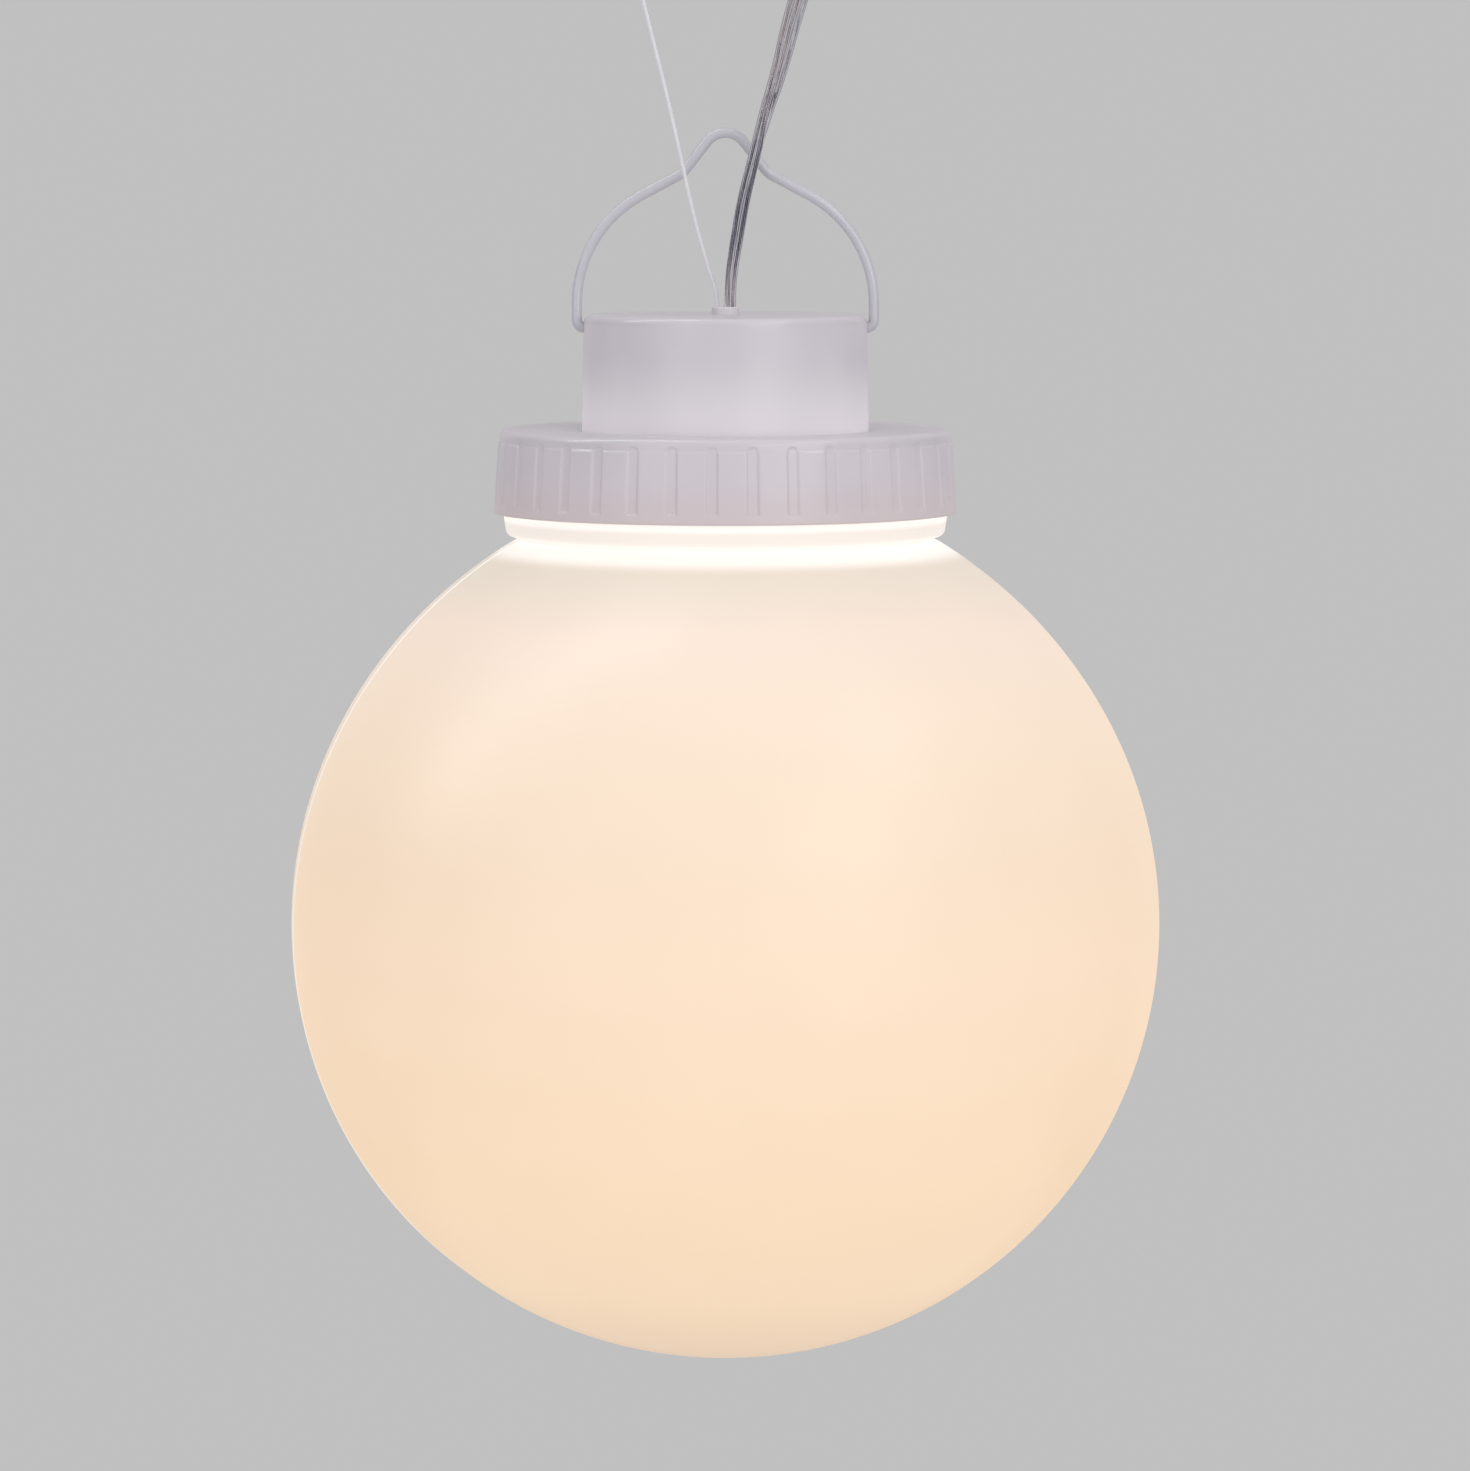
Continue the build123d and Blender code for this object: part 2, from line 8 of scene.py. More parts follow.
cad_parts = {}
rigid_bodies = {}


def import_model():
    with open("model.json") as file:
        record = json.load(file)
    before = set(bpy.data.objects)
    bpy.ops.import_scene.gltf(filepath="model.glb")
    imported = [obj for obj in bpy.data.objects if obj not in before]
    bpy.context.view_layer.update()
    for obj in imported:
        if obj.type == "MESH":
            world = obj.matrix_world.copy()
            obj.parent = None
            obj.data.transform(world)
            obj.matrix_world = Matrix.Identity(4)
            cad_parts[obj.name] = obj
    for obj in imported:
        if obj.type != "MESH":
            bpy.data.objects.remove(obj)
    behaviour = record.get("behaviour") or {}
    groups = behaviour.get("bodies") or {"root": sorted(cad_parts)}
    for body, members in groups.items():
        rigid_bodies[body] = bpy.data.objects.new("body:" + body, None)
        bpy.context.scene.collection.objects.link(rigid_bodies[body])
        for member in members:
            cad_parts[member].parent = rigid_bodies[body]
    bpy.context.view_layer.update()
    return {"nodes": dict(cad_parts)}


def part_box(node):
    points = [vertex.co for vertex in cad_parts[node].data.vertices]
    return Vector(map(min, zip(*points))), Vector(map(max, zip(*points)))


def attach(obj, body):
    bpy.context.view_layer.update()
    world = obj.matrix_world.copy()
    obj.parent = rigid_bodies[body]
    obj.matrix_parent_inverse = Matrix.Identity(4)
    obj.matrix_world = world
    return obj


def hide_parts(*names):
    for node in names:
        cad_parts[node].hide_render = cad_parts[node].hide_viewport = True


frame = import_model()
nodes = frame["nodes"]
mm = 0.001


class Sizes(dict):  # a dictionary whose values are also read by name, as in ring.height
    __getattr__ = dict.__getitem__


def metres(values):
    return [value * mm for value in values]


def unit(turn):  # cosine and sine of an angle in degrees
    return cos(radians(turn)), sin(radians(turn))


class Channel:  # a value in a node tree, with sums written as Python
    def __init__(self, owner, socket):
        self.owner, self.socket = owner, socket

    def sum(self, operation, first, second=0.0):
        return self.owner.node("Math", {0: first, 1: second}, operation=operation)

    def wave(self, period):  # runs between 0 and 1
        return (self * (2 * pi / period)).sine() * 0.5 + 0.5


sums = {
    "__add__": "ADD", "__sub__": "SUBTRACT", "__mul__": "MULTIPLY", "__truediv__": "DIVIDE",
    "__pow__": "POWER", "__lt__": "LESS_THAN", "__gt__": "GREATER_THAN", "__abs__": "ABSOLUTE",
    "sine": "SINE", "cosine": "COSINE"}
for name, operation in sums.items():
    setattr(Channel, name, lambda self, other=0.0, kind=operation: self.sum(kind, self, other))
for name, operation in {"__rsub__": "SUBTRACT", "__rtruediv__": "DIVIDE"}.items():
    setattr(Channel, name, lambda self, other, kind=operation: self.sum(kind, other, self))


def reach(x, y):
    return (x * x + y * y) ** 0.5


class Nodes:  # makes nodes from the values of their sockets and their settings
    def node(self, kind, sockets=None, output=0, family="ShaderNode", **settings):
        node = self.tree.nodes.new(family + kind)
        for key, value in settings.items():
            setattr(node, key, value)
        for key, value in (sockets or {}).items():
            socket = node.inputs[key]
            if isinstance(value, Channel):
                self.tree.links.new(value.socket, socket)
            else:
                socket.default_value = (*value, 1) if socket.type == "RGBA" else value
        return Channel(self, node.outputs[output])

    def outputs(self, kind, sockets=None):
        made = self.node(kind, sockets).socket.node
        return {output.name: Channel(self, output) for output in made.outputs}

    def span(self, value, low, high, toLow=0.0, toHigh=1.0):
        sockets = {"Value": value, "From Min": low, "From Max": high, "To Min": toLow, "To Max": toHigh}
        return self.node("MapRange", sockets, interpolation_type="SMOOTHSTEP")


class Finish(Nodes):
    def __init__(self, name, holder=None):
        self.holder = holder or bpy.data.materials.new(name)
        self.holder.use_nodes = True
        self.tree = self.holder.node_tree
        self.tree.nodes.clear()

    def place(self):  # where a point lies on the object, in metres
        return self.node("TexCoord", output="Object")

    def axes(self, point=None):
        return self.outputs("SeparateXYZ", {0: point or self.place()}).values()

    def attribute(self, name, output):
        return self.node("Attribute", output=output, attribute_name=name)

    def noise(self, scale, detail=2.0):
        return self.node("TexNoise", {"Vector": self.place(), "Scale": scale, "Detail": detail})

    def ramp(self, value, stops):
        shade = self.node("ValToRGB", {0: value})
        elements = shade.socket.node.color_ramp.elements
        while len(elements) < len(stops):
            elements.new(0.5)
        for element, (place, colour) in zip(elements, stops):
            element.position = place
            element.color = (*colour, 1)
        return shade

    def mix(self, share, first, second):
        return self.node("Mix", {0: share, 6: first, 7: second}, 2, data_type="RGBA")

    def patchy(self, cloud, first, second):
        return self.mix(self.span(cloud, 0.35, 0.65), first, second)

    def rough(self, cloud, low, high):
        return self.span(cloud, 0.3, 0.7, low, high)

    def bump(self, height, depth, strength):  # depth in mm
        return self.node("Bump", {"Height": height, "Distance": depth * mm, "Strength": strength})

    def done(self, shader, holder="Material"):
        last = self.tree.nodes.new("ShaderNodeOutput" + holder)
        self.tree.links.new(shader.socket, last.inputs["Surface"])
        return self.holder

    def painted(self, **sockets):
        if "Emission_Color" in sockets:
            sockets["Emission_Strength"] = 1.0
        named = {key.replace("_", " "): value for key, value in sockets.items()}
        return self.done(self.node("BsdfPrincipled", named))


opal = Sizes(  # heights are shares of the globe's height, widths are in mm; the seam line is a painted highlight and the band beside it painted shade
    seamTurn=189.3, seamWidth=(0.2, 0.95), seamShare=0.8,
    besideSeam=15.0, besideShare=0.5, beside=(0.35, 0.305, 0.28),
    neckFrom=(0.892, 0.905), neck=(0.60, 0.57, 0.54),
    lipReach=(49.0, 49.3), lipLow=0.914, lipFades=(0.932, 0.939),
    lipFoot=(0.53, 0.485, 0.445), lipTop=(0.70, 0.66, 0.63),
    glow=[
        (0.00, (0.47, 0.31, 0.167)), (0.10, (0.58, 0.395, 0.21)), (0.25, (0.58, 0.385, 0.195)),
        (0.42, (0.56, 0.38, 0.207)), (0.58, (0.512, 0.352, 0.198)), (0.74, (0.50, 0.365, 0.235)),
        (0.82, (0.49, 0.36, 0.265)), (0.885, (0.38, 0.32, 0.24)),
    ],
)
moulded = {  # spans are in mm; a painted glow warms and brightens the foot, more at the sides, as if light soaked in from the globe, and only the edges are glossy
    "housing_plastic": Sizes(
        shades=((0.645, 0.62, 0.65), (0.61, 0.585, 0.62)), soaks=(-69.0, -48.0),
        warm=(0.68, 0.65, 0.68), glow=(0.125, 0.115, 0.118), sideGlow=(0.185, 0.172, 0.180),
        sides=(12.0, 31.0), gloss=(-42.8, -40.35)),
    "ring_plastic": Sizes(
        shades=((0.635, 0.60, 0.63), (0.60, 0.57, 0.60)), soaks=(-86.0, -74.0),
        warm=(0.60, 0.54, 0.55), glow=(0.030, 0.020, 0.018), sideGlow=(0.045, 0.035, 0.034),
        sides=(20.0, 50.0), gloss=(-70.2, -66.7)),
}
tinned = Sizes(  # painted lit and shaded colours at shares of the cable's length: the near-black stretch is painted shade, the near-white colours painted highlights
    wires=5, lay=160.0, single=(0.92, 0.91, 0.94), singleShare=0.75,
    dark=[
        (0.06, (0.40, 0.35, 0.35)), (0.18, (0.045, 0.044, 0.070)), (0.46, (0.050, 0.047, 0.075)),
        (0.60, (0.38, 0.32, 0.32)), (1.0, (0.36, 0.30, 0.30))],
    bright=[
        (0.06, (0.90, 0.86, 0.86)), (0.18, (0.60, 0.59, 0.68)), (0.46, (0.80, 0.79, 0.85)),
        (0.60, (0.97, 0.94, 0.94)), (1.0, (0.96, 0.90, 0.88))],
)
can = Sizes(
    place=(-13.0, 5.0), lidFrom=-0.35, lidTo=-0.25, lidReach=(3.9, 4.1), stripe=-3.2,
    dash=3.0, dashHalf=0.9, score=(0.10, 0.25),
)


def opalPlastic(low, high):
    f = Finish("opal_globe")
    x, y, z = f.axes()
    height = (z - low) / (high - low)
    cloud = f.noise(9.0, 3.0)
    lit = f.ramp(height + (cloud - 0.5) * 0.08, opal.glow)
    lit = f.mix(f.span(height, *opal.neckFrom), lit, opal.neck)
    across, along = unit(opal.seamTurn)
    side = x * along - y * across
    # painted shade: a grey band dims the glow on one side of the mould seams, fading away from them
    beside = f.span(side, 0.0, opal.besideSeam * mm, opal.besideShare, 0.0) * (side > 0.0)
    lit = f.mix(beside, lit, opal.beside)
    # painted highlight: a thin line along the mould seams takes the neck's bright colour
    seam = f.span(abs(side), *metres(opal.seamWidth), opal.seamShare, 0.0)
    lit = f.mix(seam, lit, opal.neck)
    outer = f.span(reach(x, y), *metres(opal.lipReach))
    lip = f.mix(f.span(height, *opal.lipFades), opal.lipFoot, opal.lipTop)
    lit = f.mix(outer * (height > opal.lipLow), lit, lip)
    base = f.mix(f.noise(60.0), (0.46, 0.435, 0.40), (0.49, 0.46, 0.425))
    return f.painted(
        Base_Color=base, Roughness=f.rough(cloud, 0.36, 0.44), IOR=1.49, Emission_Color=lit,
        Normal=f.bump(f.noise(1400.0), 0.01, 0.25))


def mouldedPlastic(name):
    f = Finish(name)
    look = moulded[name]
    x, _, z = f.axes()
    cloud = f.noise(35.0, 3.0)
    # painted glow: towards the foot the colour turns warmer and a glow is added, stronger at the left and
    # right sides
    glowShare = f.span(z, *metres(look.soaks), 1.0, 0.0)
    base = f.mix(glowShare, f.patchy(cloud, *look.shades), look.warm)
    sides = f.span(abs(x), *metres(look.sides))
    glow = f.mix(glowShare, (0.0, 0.0, 0.0), f.mix(sides, look.glow, look.sideGlow))
    low, high = metres(look.gloss)
    edge = f.span(z, low, low + 0.8 * mm) * f.span(z, high - 0.1 * mm, high, 1.0, 0.0)
    speck = f.node("TexVoronoi", {"Vector": f.place(), "Scale": 80.0})
    base = f.mix(f.span(speck, 0.010, 0.018, 0.4, 0.0), base, (0.30, 0.28, 0.29))
    return f.painted(
        Base_Color=base, Roughness=f.rough(cloud, 0.32, 0.39), IOR=1.49, Coat_Weight=edge * 0.5,
        Coat_Roughness=0.08, Emission_Color=glow, Normal=f.bump(f.noise(1800.0), 0.012, 0.3))


def cloudyFinish(name, first, second, rough, clouds, grain, patchy=False, **sockets):
    f = Finish(name)
    cloud, blend = f.noise(*clouds), f.patchy if patchy else f.mix
    scale, depth, strength = grain
    return f.painted(
        Base_Color=blend(cloud, first, second), Roughness=f.rough(cloud, *rough),
        Normal=f.bump(f.noise(scale), depth, strength), **sockets)


def coatedWire():
    return cloudyFinish(
        "bail_enamel", (0.58, 0.575, 0.61), (0.53, 0.525, 0.565), (0.30, 0.40), (120.0, 3.0),
        (160.0, 0.02, 0.10), IOR=1.5, Coat_Weight=1.0, Coat_Roughness=0.07)


def twistedCord():
    return cloudyFinish(
        "cord_jacket", (0.80, 0.79, 0.81), (0.70, 0.69, 0.71), (0.38, 0.5), (260.0,), (2600.0, 0.02, 0.4))


def clearInsulation():
    return cloudyFinish(
        "clear_insulation", (0.98, 0.975, 0.99), (0.94, 0.93, 0.96), (0.01, 0.05), (300.0,),
        (160.0, 0.03, 0.3), IOR=1.53, Transmission_Weight=1.0)


def tinnedStrands():  # fine wires laid in a slow twist, seen through the insulation, with painted lit and shaded sides and a painted highlight
    f = Finish("tinned_strands")
    across, up, _ = f.axes(f.attribute("profile", "Vector"))
    along = f.attribute("along", "Fac")
    turn = up.sum("ARCTAN2", up, across)
    wires = (turn + along * tinned.lay).wave(2 * pi / tinned.wires)
    patch, share = f.noise(420.0, 3.0), along / cable.share
    # painted shade and highlight: dark and bright are shaded and lit copies of the strands' colour, mixed
    # across each fine wire
    dark, bright = f.ramp(share, tinned.dark), f.ramp(share, tinned.bright)
    base = f.mix(f.span(wires * 0.6 + patch * 0.5, 0.35, 0.75), dark, bright)
    single = (f.attribute("strand", "Fac") < 0.5) * tinned.singleShare  # painted highlight: one wire is bright all along
    return f.painted(
        Base_Color=f.mix(single, base, tinned.single), Metallic=0.85, Roughness=f.rough(patch, 0.24, 0.40),
        Normal=f.bump(wires, 0.06, 0.8))


def plainFinish(name, first, second, rough, scale=200.0, metal=0.0, depth=0.02, coat=0.0, **sockets):
    return cloudyFinish(
        name, first, second, (rough, rough + 0.1), (scale, 3.0), (scale * 6, depth, 0.35), True,
        Metallic=metal, Coat_Weight=coat, **sockets)


def turnedPlate():  # aluminium with the fine rings of a lathe tool
    f = Finish("turned_aluminium")
    x, y, _ = f.axes()
    rings, cloud = reach(x, y).wave(0.35 * mm), f.noise(45.0, 3.0)
    return f.painted(
        Base_Color=f.patchy(cloud, (0.66, 0.67, 0.68), (0.58, 0.59, 0.60)), Metallic=1.0,
        Roughness=f.span(rings * 0.4 + cloud * 0.6, 0.2, 0.8, 0.26, 0.42), Normal=f.bump(rings, 0.008, 0.5))


def ledMask(circles):  # white solder mask with the tracks showing through it
    f = Finish("led_board_mask")
    x, y, _ = f.axes()
    track = 0.0
    for radius in circles:
        track = f.span(abs(reach(x, y) - radius * mm), 0.9 * mm, 1.15 * mm, 1.0, 0.0) + track
    speckle = f.noise(500.0, 3.0)
    base = f.patchy(speckle, (0.83, 0.83, 0.81), (0.78, 0.78, 0.76))
    return f.painted(
        Base_Color=f.mix(track * 0.35, base, (0.72, 0.70, 0.62)), Roughness=f.rough(speckle, 0.36, 0.46),
        Normal=f.bump(track, 0.035, 0.7))


def greenBoard():  # tracks run one way in some patches and the other way in the rest
    f = Finish("driver_board_green")
    x, y, _ = f.axes()
    patch = f.span(f.noise(70.0, 0.0), 0.49, 0.51)
    lines = f.mix(patch, x.wave(2.1 * mm), y.wave(2.1 * mm))
    track = f.span(lines, 0.60, 0.70)
    weave = f.noise(900.0)
    base = f.mix(track, (0.010, 0.075, 0.030), (0.022, 0.15, 0.055))
    return f.painted(
        Base_Color=f.mix(weave * 0.25, base, (0.03, 0.10, 0.05)), Roughness=f.rough(weave, 0.22, 0.32),
        Normal=f.bump(track, 0.035, 0.7))


def sleevedCan(top):  # a printed sleeve with a bare scored top
    f = Finish("capacitor_sleeve")
    x, y, z = f.axes()
    centre = metres(can.place)
    across, ahead = x - centre[0], y - centre[1]
    lid = f.span(z, top + can.lidFrom * mm, top + can.lidTo * mm)
    lid = lid * f.span(reach(across, ahead), *metres(can.lidReach), 1.0, 0.0)
    stripe = (ahead < can.stripe * mm) * (1 - lid)
    dashes = stripe * (z.wave(can.dash * mm) > 0.75) * (abs(across) < can.dashHalf * mm)
    base = f.mix(f.noise(120.0), (0.012, 0.014, 0.028), (0.020, 0.022, 0.040))
    base = f.mix(stripe, base, (0.52, 0.53, 0.55))
    base = f.mix(dashes, base, (0.02, 0.02, 0.03))
    score = f.span(across.sum("MINIMUM", abs(across), abs(ahead)), *metres(can.score))
    return f.painted(
        Base_Color=f.mix(lid, base, (0.72, 0.73, 0.74)), Metallic=lid,
        Roughness=f.rough(f.noise(300.0), 0.22, 0.34), Normal=f.bump(score * lid, 0.15, 0.8))


def rounded(corners, steps=6):  # corners are (radius, z) or (radius, z, rounding), in mm
    points = []
    for i, corner in enumerate(corners):
        here = Vector(corner[:2])
        if len(corner) < 3:
            points.append(here)
            continue
        back = (Vector(corners[i - 1][:2]) - here).normalized()
        ahead = (Vector(corners[(i + 1) % len(corners)][:2]) - here).normalized()
        half = back.angle(ahead) / 2
        centre = here + (back + ahead).normalized() * corner[2] / sin(half)
        first, last = (here + way * corner[2] / tan(half) - centre for way in (back, ahead))
        points += [centre + first.lerp(last, k / steps).normalized() * corner[2] for k in range(steps + 1)]
    return points


def arc(centreX, centreZ, radius, first, last, count):
    turns = (unit(first + (last - first) * k / count) for k in range(count + 1))
    return [(centreX + radius * c, centreZ + radius * s) for c, s in turns]


def easeIn(value, low, high):  # 0 below low, 1 above high, smooth between
    share = min(1, max(0, (value - low) / (high - low)))
    return share * share * (3 - 2 * share)


def addPiece(name, data):
    piece = bpy.data.objects.new(name, data)
    bpy.context.scene.collection.objects.link(piece)
    return piece


def fromBmesh(name, bm, outward=True):
    if outward:
        bmesh.ops.recalc_face_normals(bm, faces=bm.faces)
    mesh = bpy.data.meshes.new(name)
    bm.to_mesh(mesh)
    bm.free()
    return addPiece(name, mesh)


def lathe(name, turns, profileAt, closed=True):  # profileAt gives the section at one angle, in mm
    bm = bmesh.new()
    rings = []
    for turn in turns:
        c, s = metres(unit(turn))
        rings.append([bm.verts.new((p[0] * c, p[0] * s, p[1] * mm)) for p in profileAt(turn)])
    for here, there in zip(rings, rings[1:] + rings[:1] if closed else rings[1:]):
        for j in range(len(here)):
            k = (j + 1) % len(here)
            bm.faces.new((here[j], there[j], there[k], here[k]))
    bmesh.ops.remove_doubles(bm, verts=bm.verts, dist=0.002 * mm)
    bmesh.ops.dissolve_degenerate(bm, edges=bm.edges, dist=0.001 * mm)
    return fromBmesh(name, bm, closed)


def wholeTurn(count):
    return [360 * i / count for i in range(count)]


def turned(name, count, outline):
    return lathe(name, wholeTurn(count), lambda turn: outline)


def placed(*place):  # a move, in mm
    return Matrix.Translation(metres(place))


def soften(piece, sharpest=35.0):
    mesh = piece.data
    mesh.polygons.foreach_set("use_smooth", [True] * len(mesh.polygons))
    mesh.set_sharp_from_angle(angle=radians(sharpest))
    return piece


def dress(piece, material, slot, *replaced, body="lamp"):
    piece.data.materials.clear()
    piece.data.materials.append(material)
    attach(piece, body)
    if replaced:
        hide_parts(*replaced)
    return piece


def evaluated(piece):
    bpy.context.view_layer.update()
    return bpy.data.meshes.new_from_object(piece.evaluated_get(bpy.context.evaluated_depsgraph_get()))


def baked(piece, name):  # the evaluated shape as a plain mesh piece
    mesh = evaluated(piece)
    mesh.name = name
    old = piece.data
    bpy.data.objects.remove(piece)
    if isinstance(old, bpy.types.Mesh):
        bpy.data.meshes.remove(old)
    return addPiece(name, mesh)


def joined(name, *pieces, outward=False):
    bm = bmesh.new()
    for piece in pieces:
        mesh = piece.data
        bm.from_mesh(mesh)
        bpy.data.objects.remove(piece)
        bpy.data.meshes.remove(mesh)
    return fromBmesh(name, bm, outward)


def slab(bm, low, high, chamfer, segments=2):  # a box between two corners, in metres
    middle, size = (Vector(low) + Vector(high)) / 2, Vector(high) - Vector(low)
    made = bmesh.ops.create_cube(bm, size=1, matrix=Matrix.Translation(middle) @ Matrix.Diagonal((*size, 1)))
    edges = {edge: None for vert in made["verts"] for edge in vert.link_edges}
    bmesh.ops.bevel(bm, geom=list(edges), offset=chamfer, segments=segments, affect="EDGES")


def cone(bm, segments, foot, crown, height, place):  # a capped cone, in mm
    bmesh.ops.create_cone(
        bm, cap_ends=True, segments=segments, radius1=foot * mm, radius2=crown * mm, depth=height * mm,
        matrix=placed(*place))


class ShapeTree(Nodes):  # Geometry Nodes with named inputs
    def __init__(self, name, numbers, counts):
        self.tree = bpy.data.node_groups.new(name, "GeometryNodeTree")
        sockets = self.tree.interface
        sockets.new_socket("Geometry", in_out="OUTPUT", socket_type="NodeSocketGeometry")
        kinds = {"Geometry": "Geometry", **dict.fromkeys(numbers, "Float"), **dict.fromkeys(counts, "Int")}
        self.ids = {
            label: sockets.new_socket(label, in_out="INPUT", socket_type="NodeSocket" + kind).identifier
            for label, kind in {**kinds, "Material": "Material"}.items()}
        self.source = self.tree.nodes.new("NodeGroupInput")

    def __getitem__(self, label):
        return Channel(self, self.source.outputs[label])

    def shape(self, kind, sockets=None, output=0, **settings):
        return self.node(kind, sockets, output, "GeometryNode", **settings)

    def vector(self, operation, first, second=(0.0, 0.0, 0.0)):
        place = "Scale" if operation == "SCALE" else 1
        return self.node("VectorMath", {0: first, place: second}, operation=operation)

    def point(self, x, y, z):
        return self.node("CombineXYZ", {0: x, 1: y, 2: z})

    def polar(self, turn, radius, height=0.0):
        return self.point(turn.cosine() * radius, turn.sine() * radius, height)

    def moved(self, geometry, **places):
        return self.shape("SetPosition", {0: geometry, **places})

    def swept(self, curve, profile):
        return self.shape("CurveToMesh", {"Curve": curve, "Profile Curve": profile, "Fill Caps": True})

    def kept(self, geometry, name, value, kind="FLOAT", domain="POINT"):
        values = {"Geometry": geometry, "Name": name, "Value": value}
        return self.shape("StoreNamedAttribute", values, data_type=kind, domain=domain)

    def done(self, geometry):
        real = self.shape("RealizeInstances", {0: geometry})
        held = self.shape("SetMaterial", {0: real, "Material": self["Material"]})
        output = self.tree.nodes.new("NodeGroupOutput")
        self.tree.links.new(held.socket, output.inputs[0])
        return self

    def run(self, piece, values, name):
        modifier = piece.modifiers.new(self.tree.name, "NODES")
        modifier.node_group = self.tree
        for label, value in values.items():
            modifier[self.ids[label]] = value
        return baked(piece, name)


def circlesTree(circles):  # copies of a shape, spread evenly on circles about Z
    kinds = ("Count", "Radius", "First")
    counts, radii, firsts = ([f"{kind} {i}" for i in range(circles)] for kind in kinds)
    tree = ShapeTree(f"copiesOn{circles}Circles", ["Weld", *radii, *firsts], counts)
    index = tree.shape("InputIndex")
    sets = tree.shape("JoinGeometry")
    for labels in zip(counts, radii, firsts):
        count, radius, first = (tree[label] for label in labels)
        turn = index * (2 * pi / count) + first
        points = tree.shape("Points", {"Count": count, "Position": tree.polar(turn, radius)})
        copies = tree.shape("InstanceOnPoints", {
            "Points": points, "Instance": tree["Geometry"], "Rotation": tree.point(0.0, 0.0, turn)})
        tree.tree.links.new(copies.socket, sets.socket.node.inputs[0])
    real = tree.shape("RealizeInstances", {0: sets})
    return tree.done(tree.shape("MergeByDistance", {0: real, "Distance": tree["Weld"]}))


def helixTree():  # an oval bar that climbs round Z and thins out at its ends
    tree = ShapeTree("helix", ("Turns", "Radius", "Lead", "Base", "Across", "Tall", "Taper"), ("Steps",))
    line = tree.shape("ResampleCurve", {0: tree.shape("CurvePrimitiveLine"), "Count": tree["Steps"]})
    along = tree.shape("SplineParameter")
    turns = along * tree["Turns"]
    place = tree.polar(turns * (2 * pi), tree["Radius"], turns * tree["Lead"] + tree["Base"])
    spiral = tree.moved(line, Position=place)
    upright = tree.shape("SetCurveNormal", {0: spiral}, mode="Z_UP")
    end = along.sum("MINIMUM", along, 1.0 - along)
    thick = end.sum("MAXIMUM", tree.span(end, 0.0, tree["Taper"]), 0.05)
    held = tree.shape("SetCurveRadius", {0: upright, "Radius": thick})
    circle = tree.shape("CurvePrimitiveCircle", {"Resolution": 10, "Radius": 1.0})
    oval = tree.point(tree["Across"], tree["Tall"], 1.0)
    oval = tree.vector("MULTIPLY", tree.shape("InputPosition"), oval)
    return tree.done(tree.swept(held, tree.moved(circle, Position=oval)))


circleCopies = {1: circlesTree(1), 3: circlesTree(3)}
helix = helixTree()


def onCircles(shape, material, circles, name, weld=0.0):  # circles are (count, radius in mm, first angle)
    values = {"Weld": weld, "Material": material}
    for i, (count, radius, first) in enumerate(circles):
        values.update({f"Count {i}": count, f"Radius {i}": radius * mm, f"First {i}": radians(first)})
    return circleCopies[len(circles)].run(shape, values, name)


def wound(name, material, turns, radius, lead, base, across, tall, taper=0.02, steps=160):
    empty = addPiece(name + "_start", bpy.data.meshes.new(name + "_start"))
    return soften(helix.run(empty, {
        "Turns": turns, "Radius": radius * mm, "Lead": lead * mm, "Base": base * mm, "Across": across * mm,
        "Tall": tall * mm, "Taper": taper, "Steps": steps, "Material": material}, name), 60)


view = Sizes(stand=(0.0022, -1.490, 0.0014), down=5.31, lens=159.0, sensor=36.0, reach=20)


def makeCamera():
    camera = addPiece("camera", bpy.data.cameras.new("camera"))
    camera.location = view.stand
    camera.rotation_euler = (radians(90 - view.down), 0, 0)
    camera.data.lens = view.lens
    camera.data.sensor_width = view.sensor
    camera.data.clip_end = view.reach
    bpy.context.scene.camera = camera


lamps = {
    "key": Sizes(stand=(0.95, -1.50, 0.35), size=1.2, power=5.8, colour=(1.0, 0.985, 0.99)),
    "fill": Sizes(stand=(-1.15, -1.35, 0.10), size=1.1, power=2.5, colour=(0.98, 0.97, 1.0)),
    "top": Sizes(stand=(0.1, -0.3, 1.35), size=0.9, power=1.2, colour=(1.0, 0.99, 1.0)),
    "glint": Sizes(stand=(0.95, -0.63, 1.10), size=0.40, power=1.5, colour=(1.0, 1.0, 1.0)),
}
studio = Sizes(
    aim=(0, 0, -0.13), backdrop=(0.527, 0.527, 0.527), soft=(0.745, 0.73, 0.755),
    flanks=(0.12, 0.11, 0.15), flankFrom=(0.45, 0.90), groundFrom=(-0.60, -0.10),
    strip=(5.0, 5.0, 5.1), stripHalf=(0.07, 0.11), stripAcross=-0.15, stripUp=0.35,
)


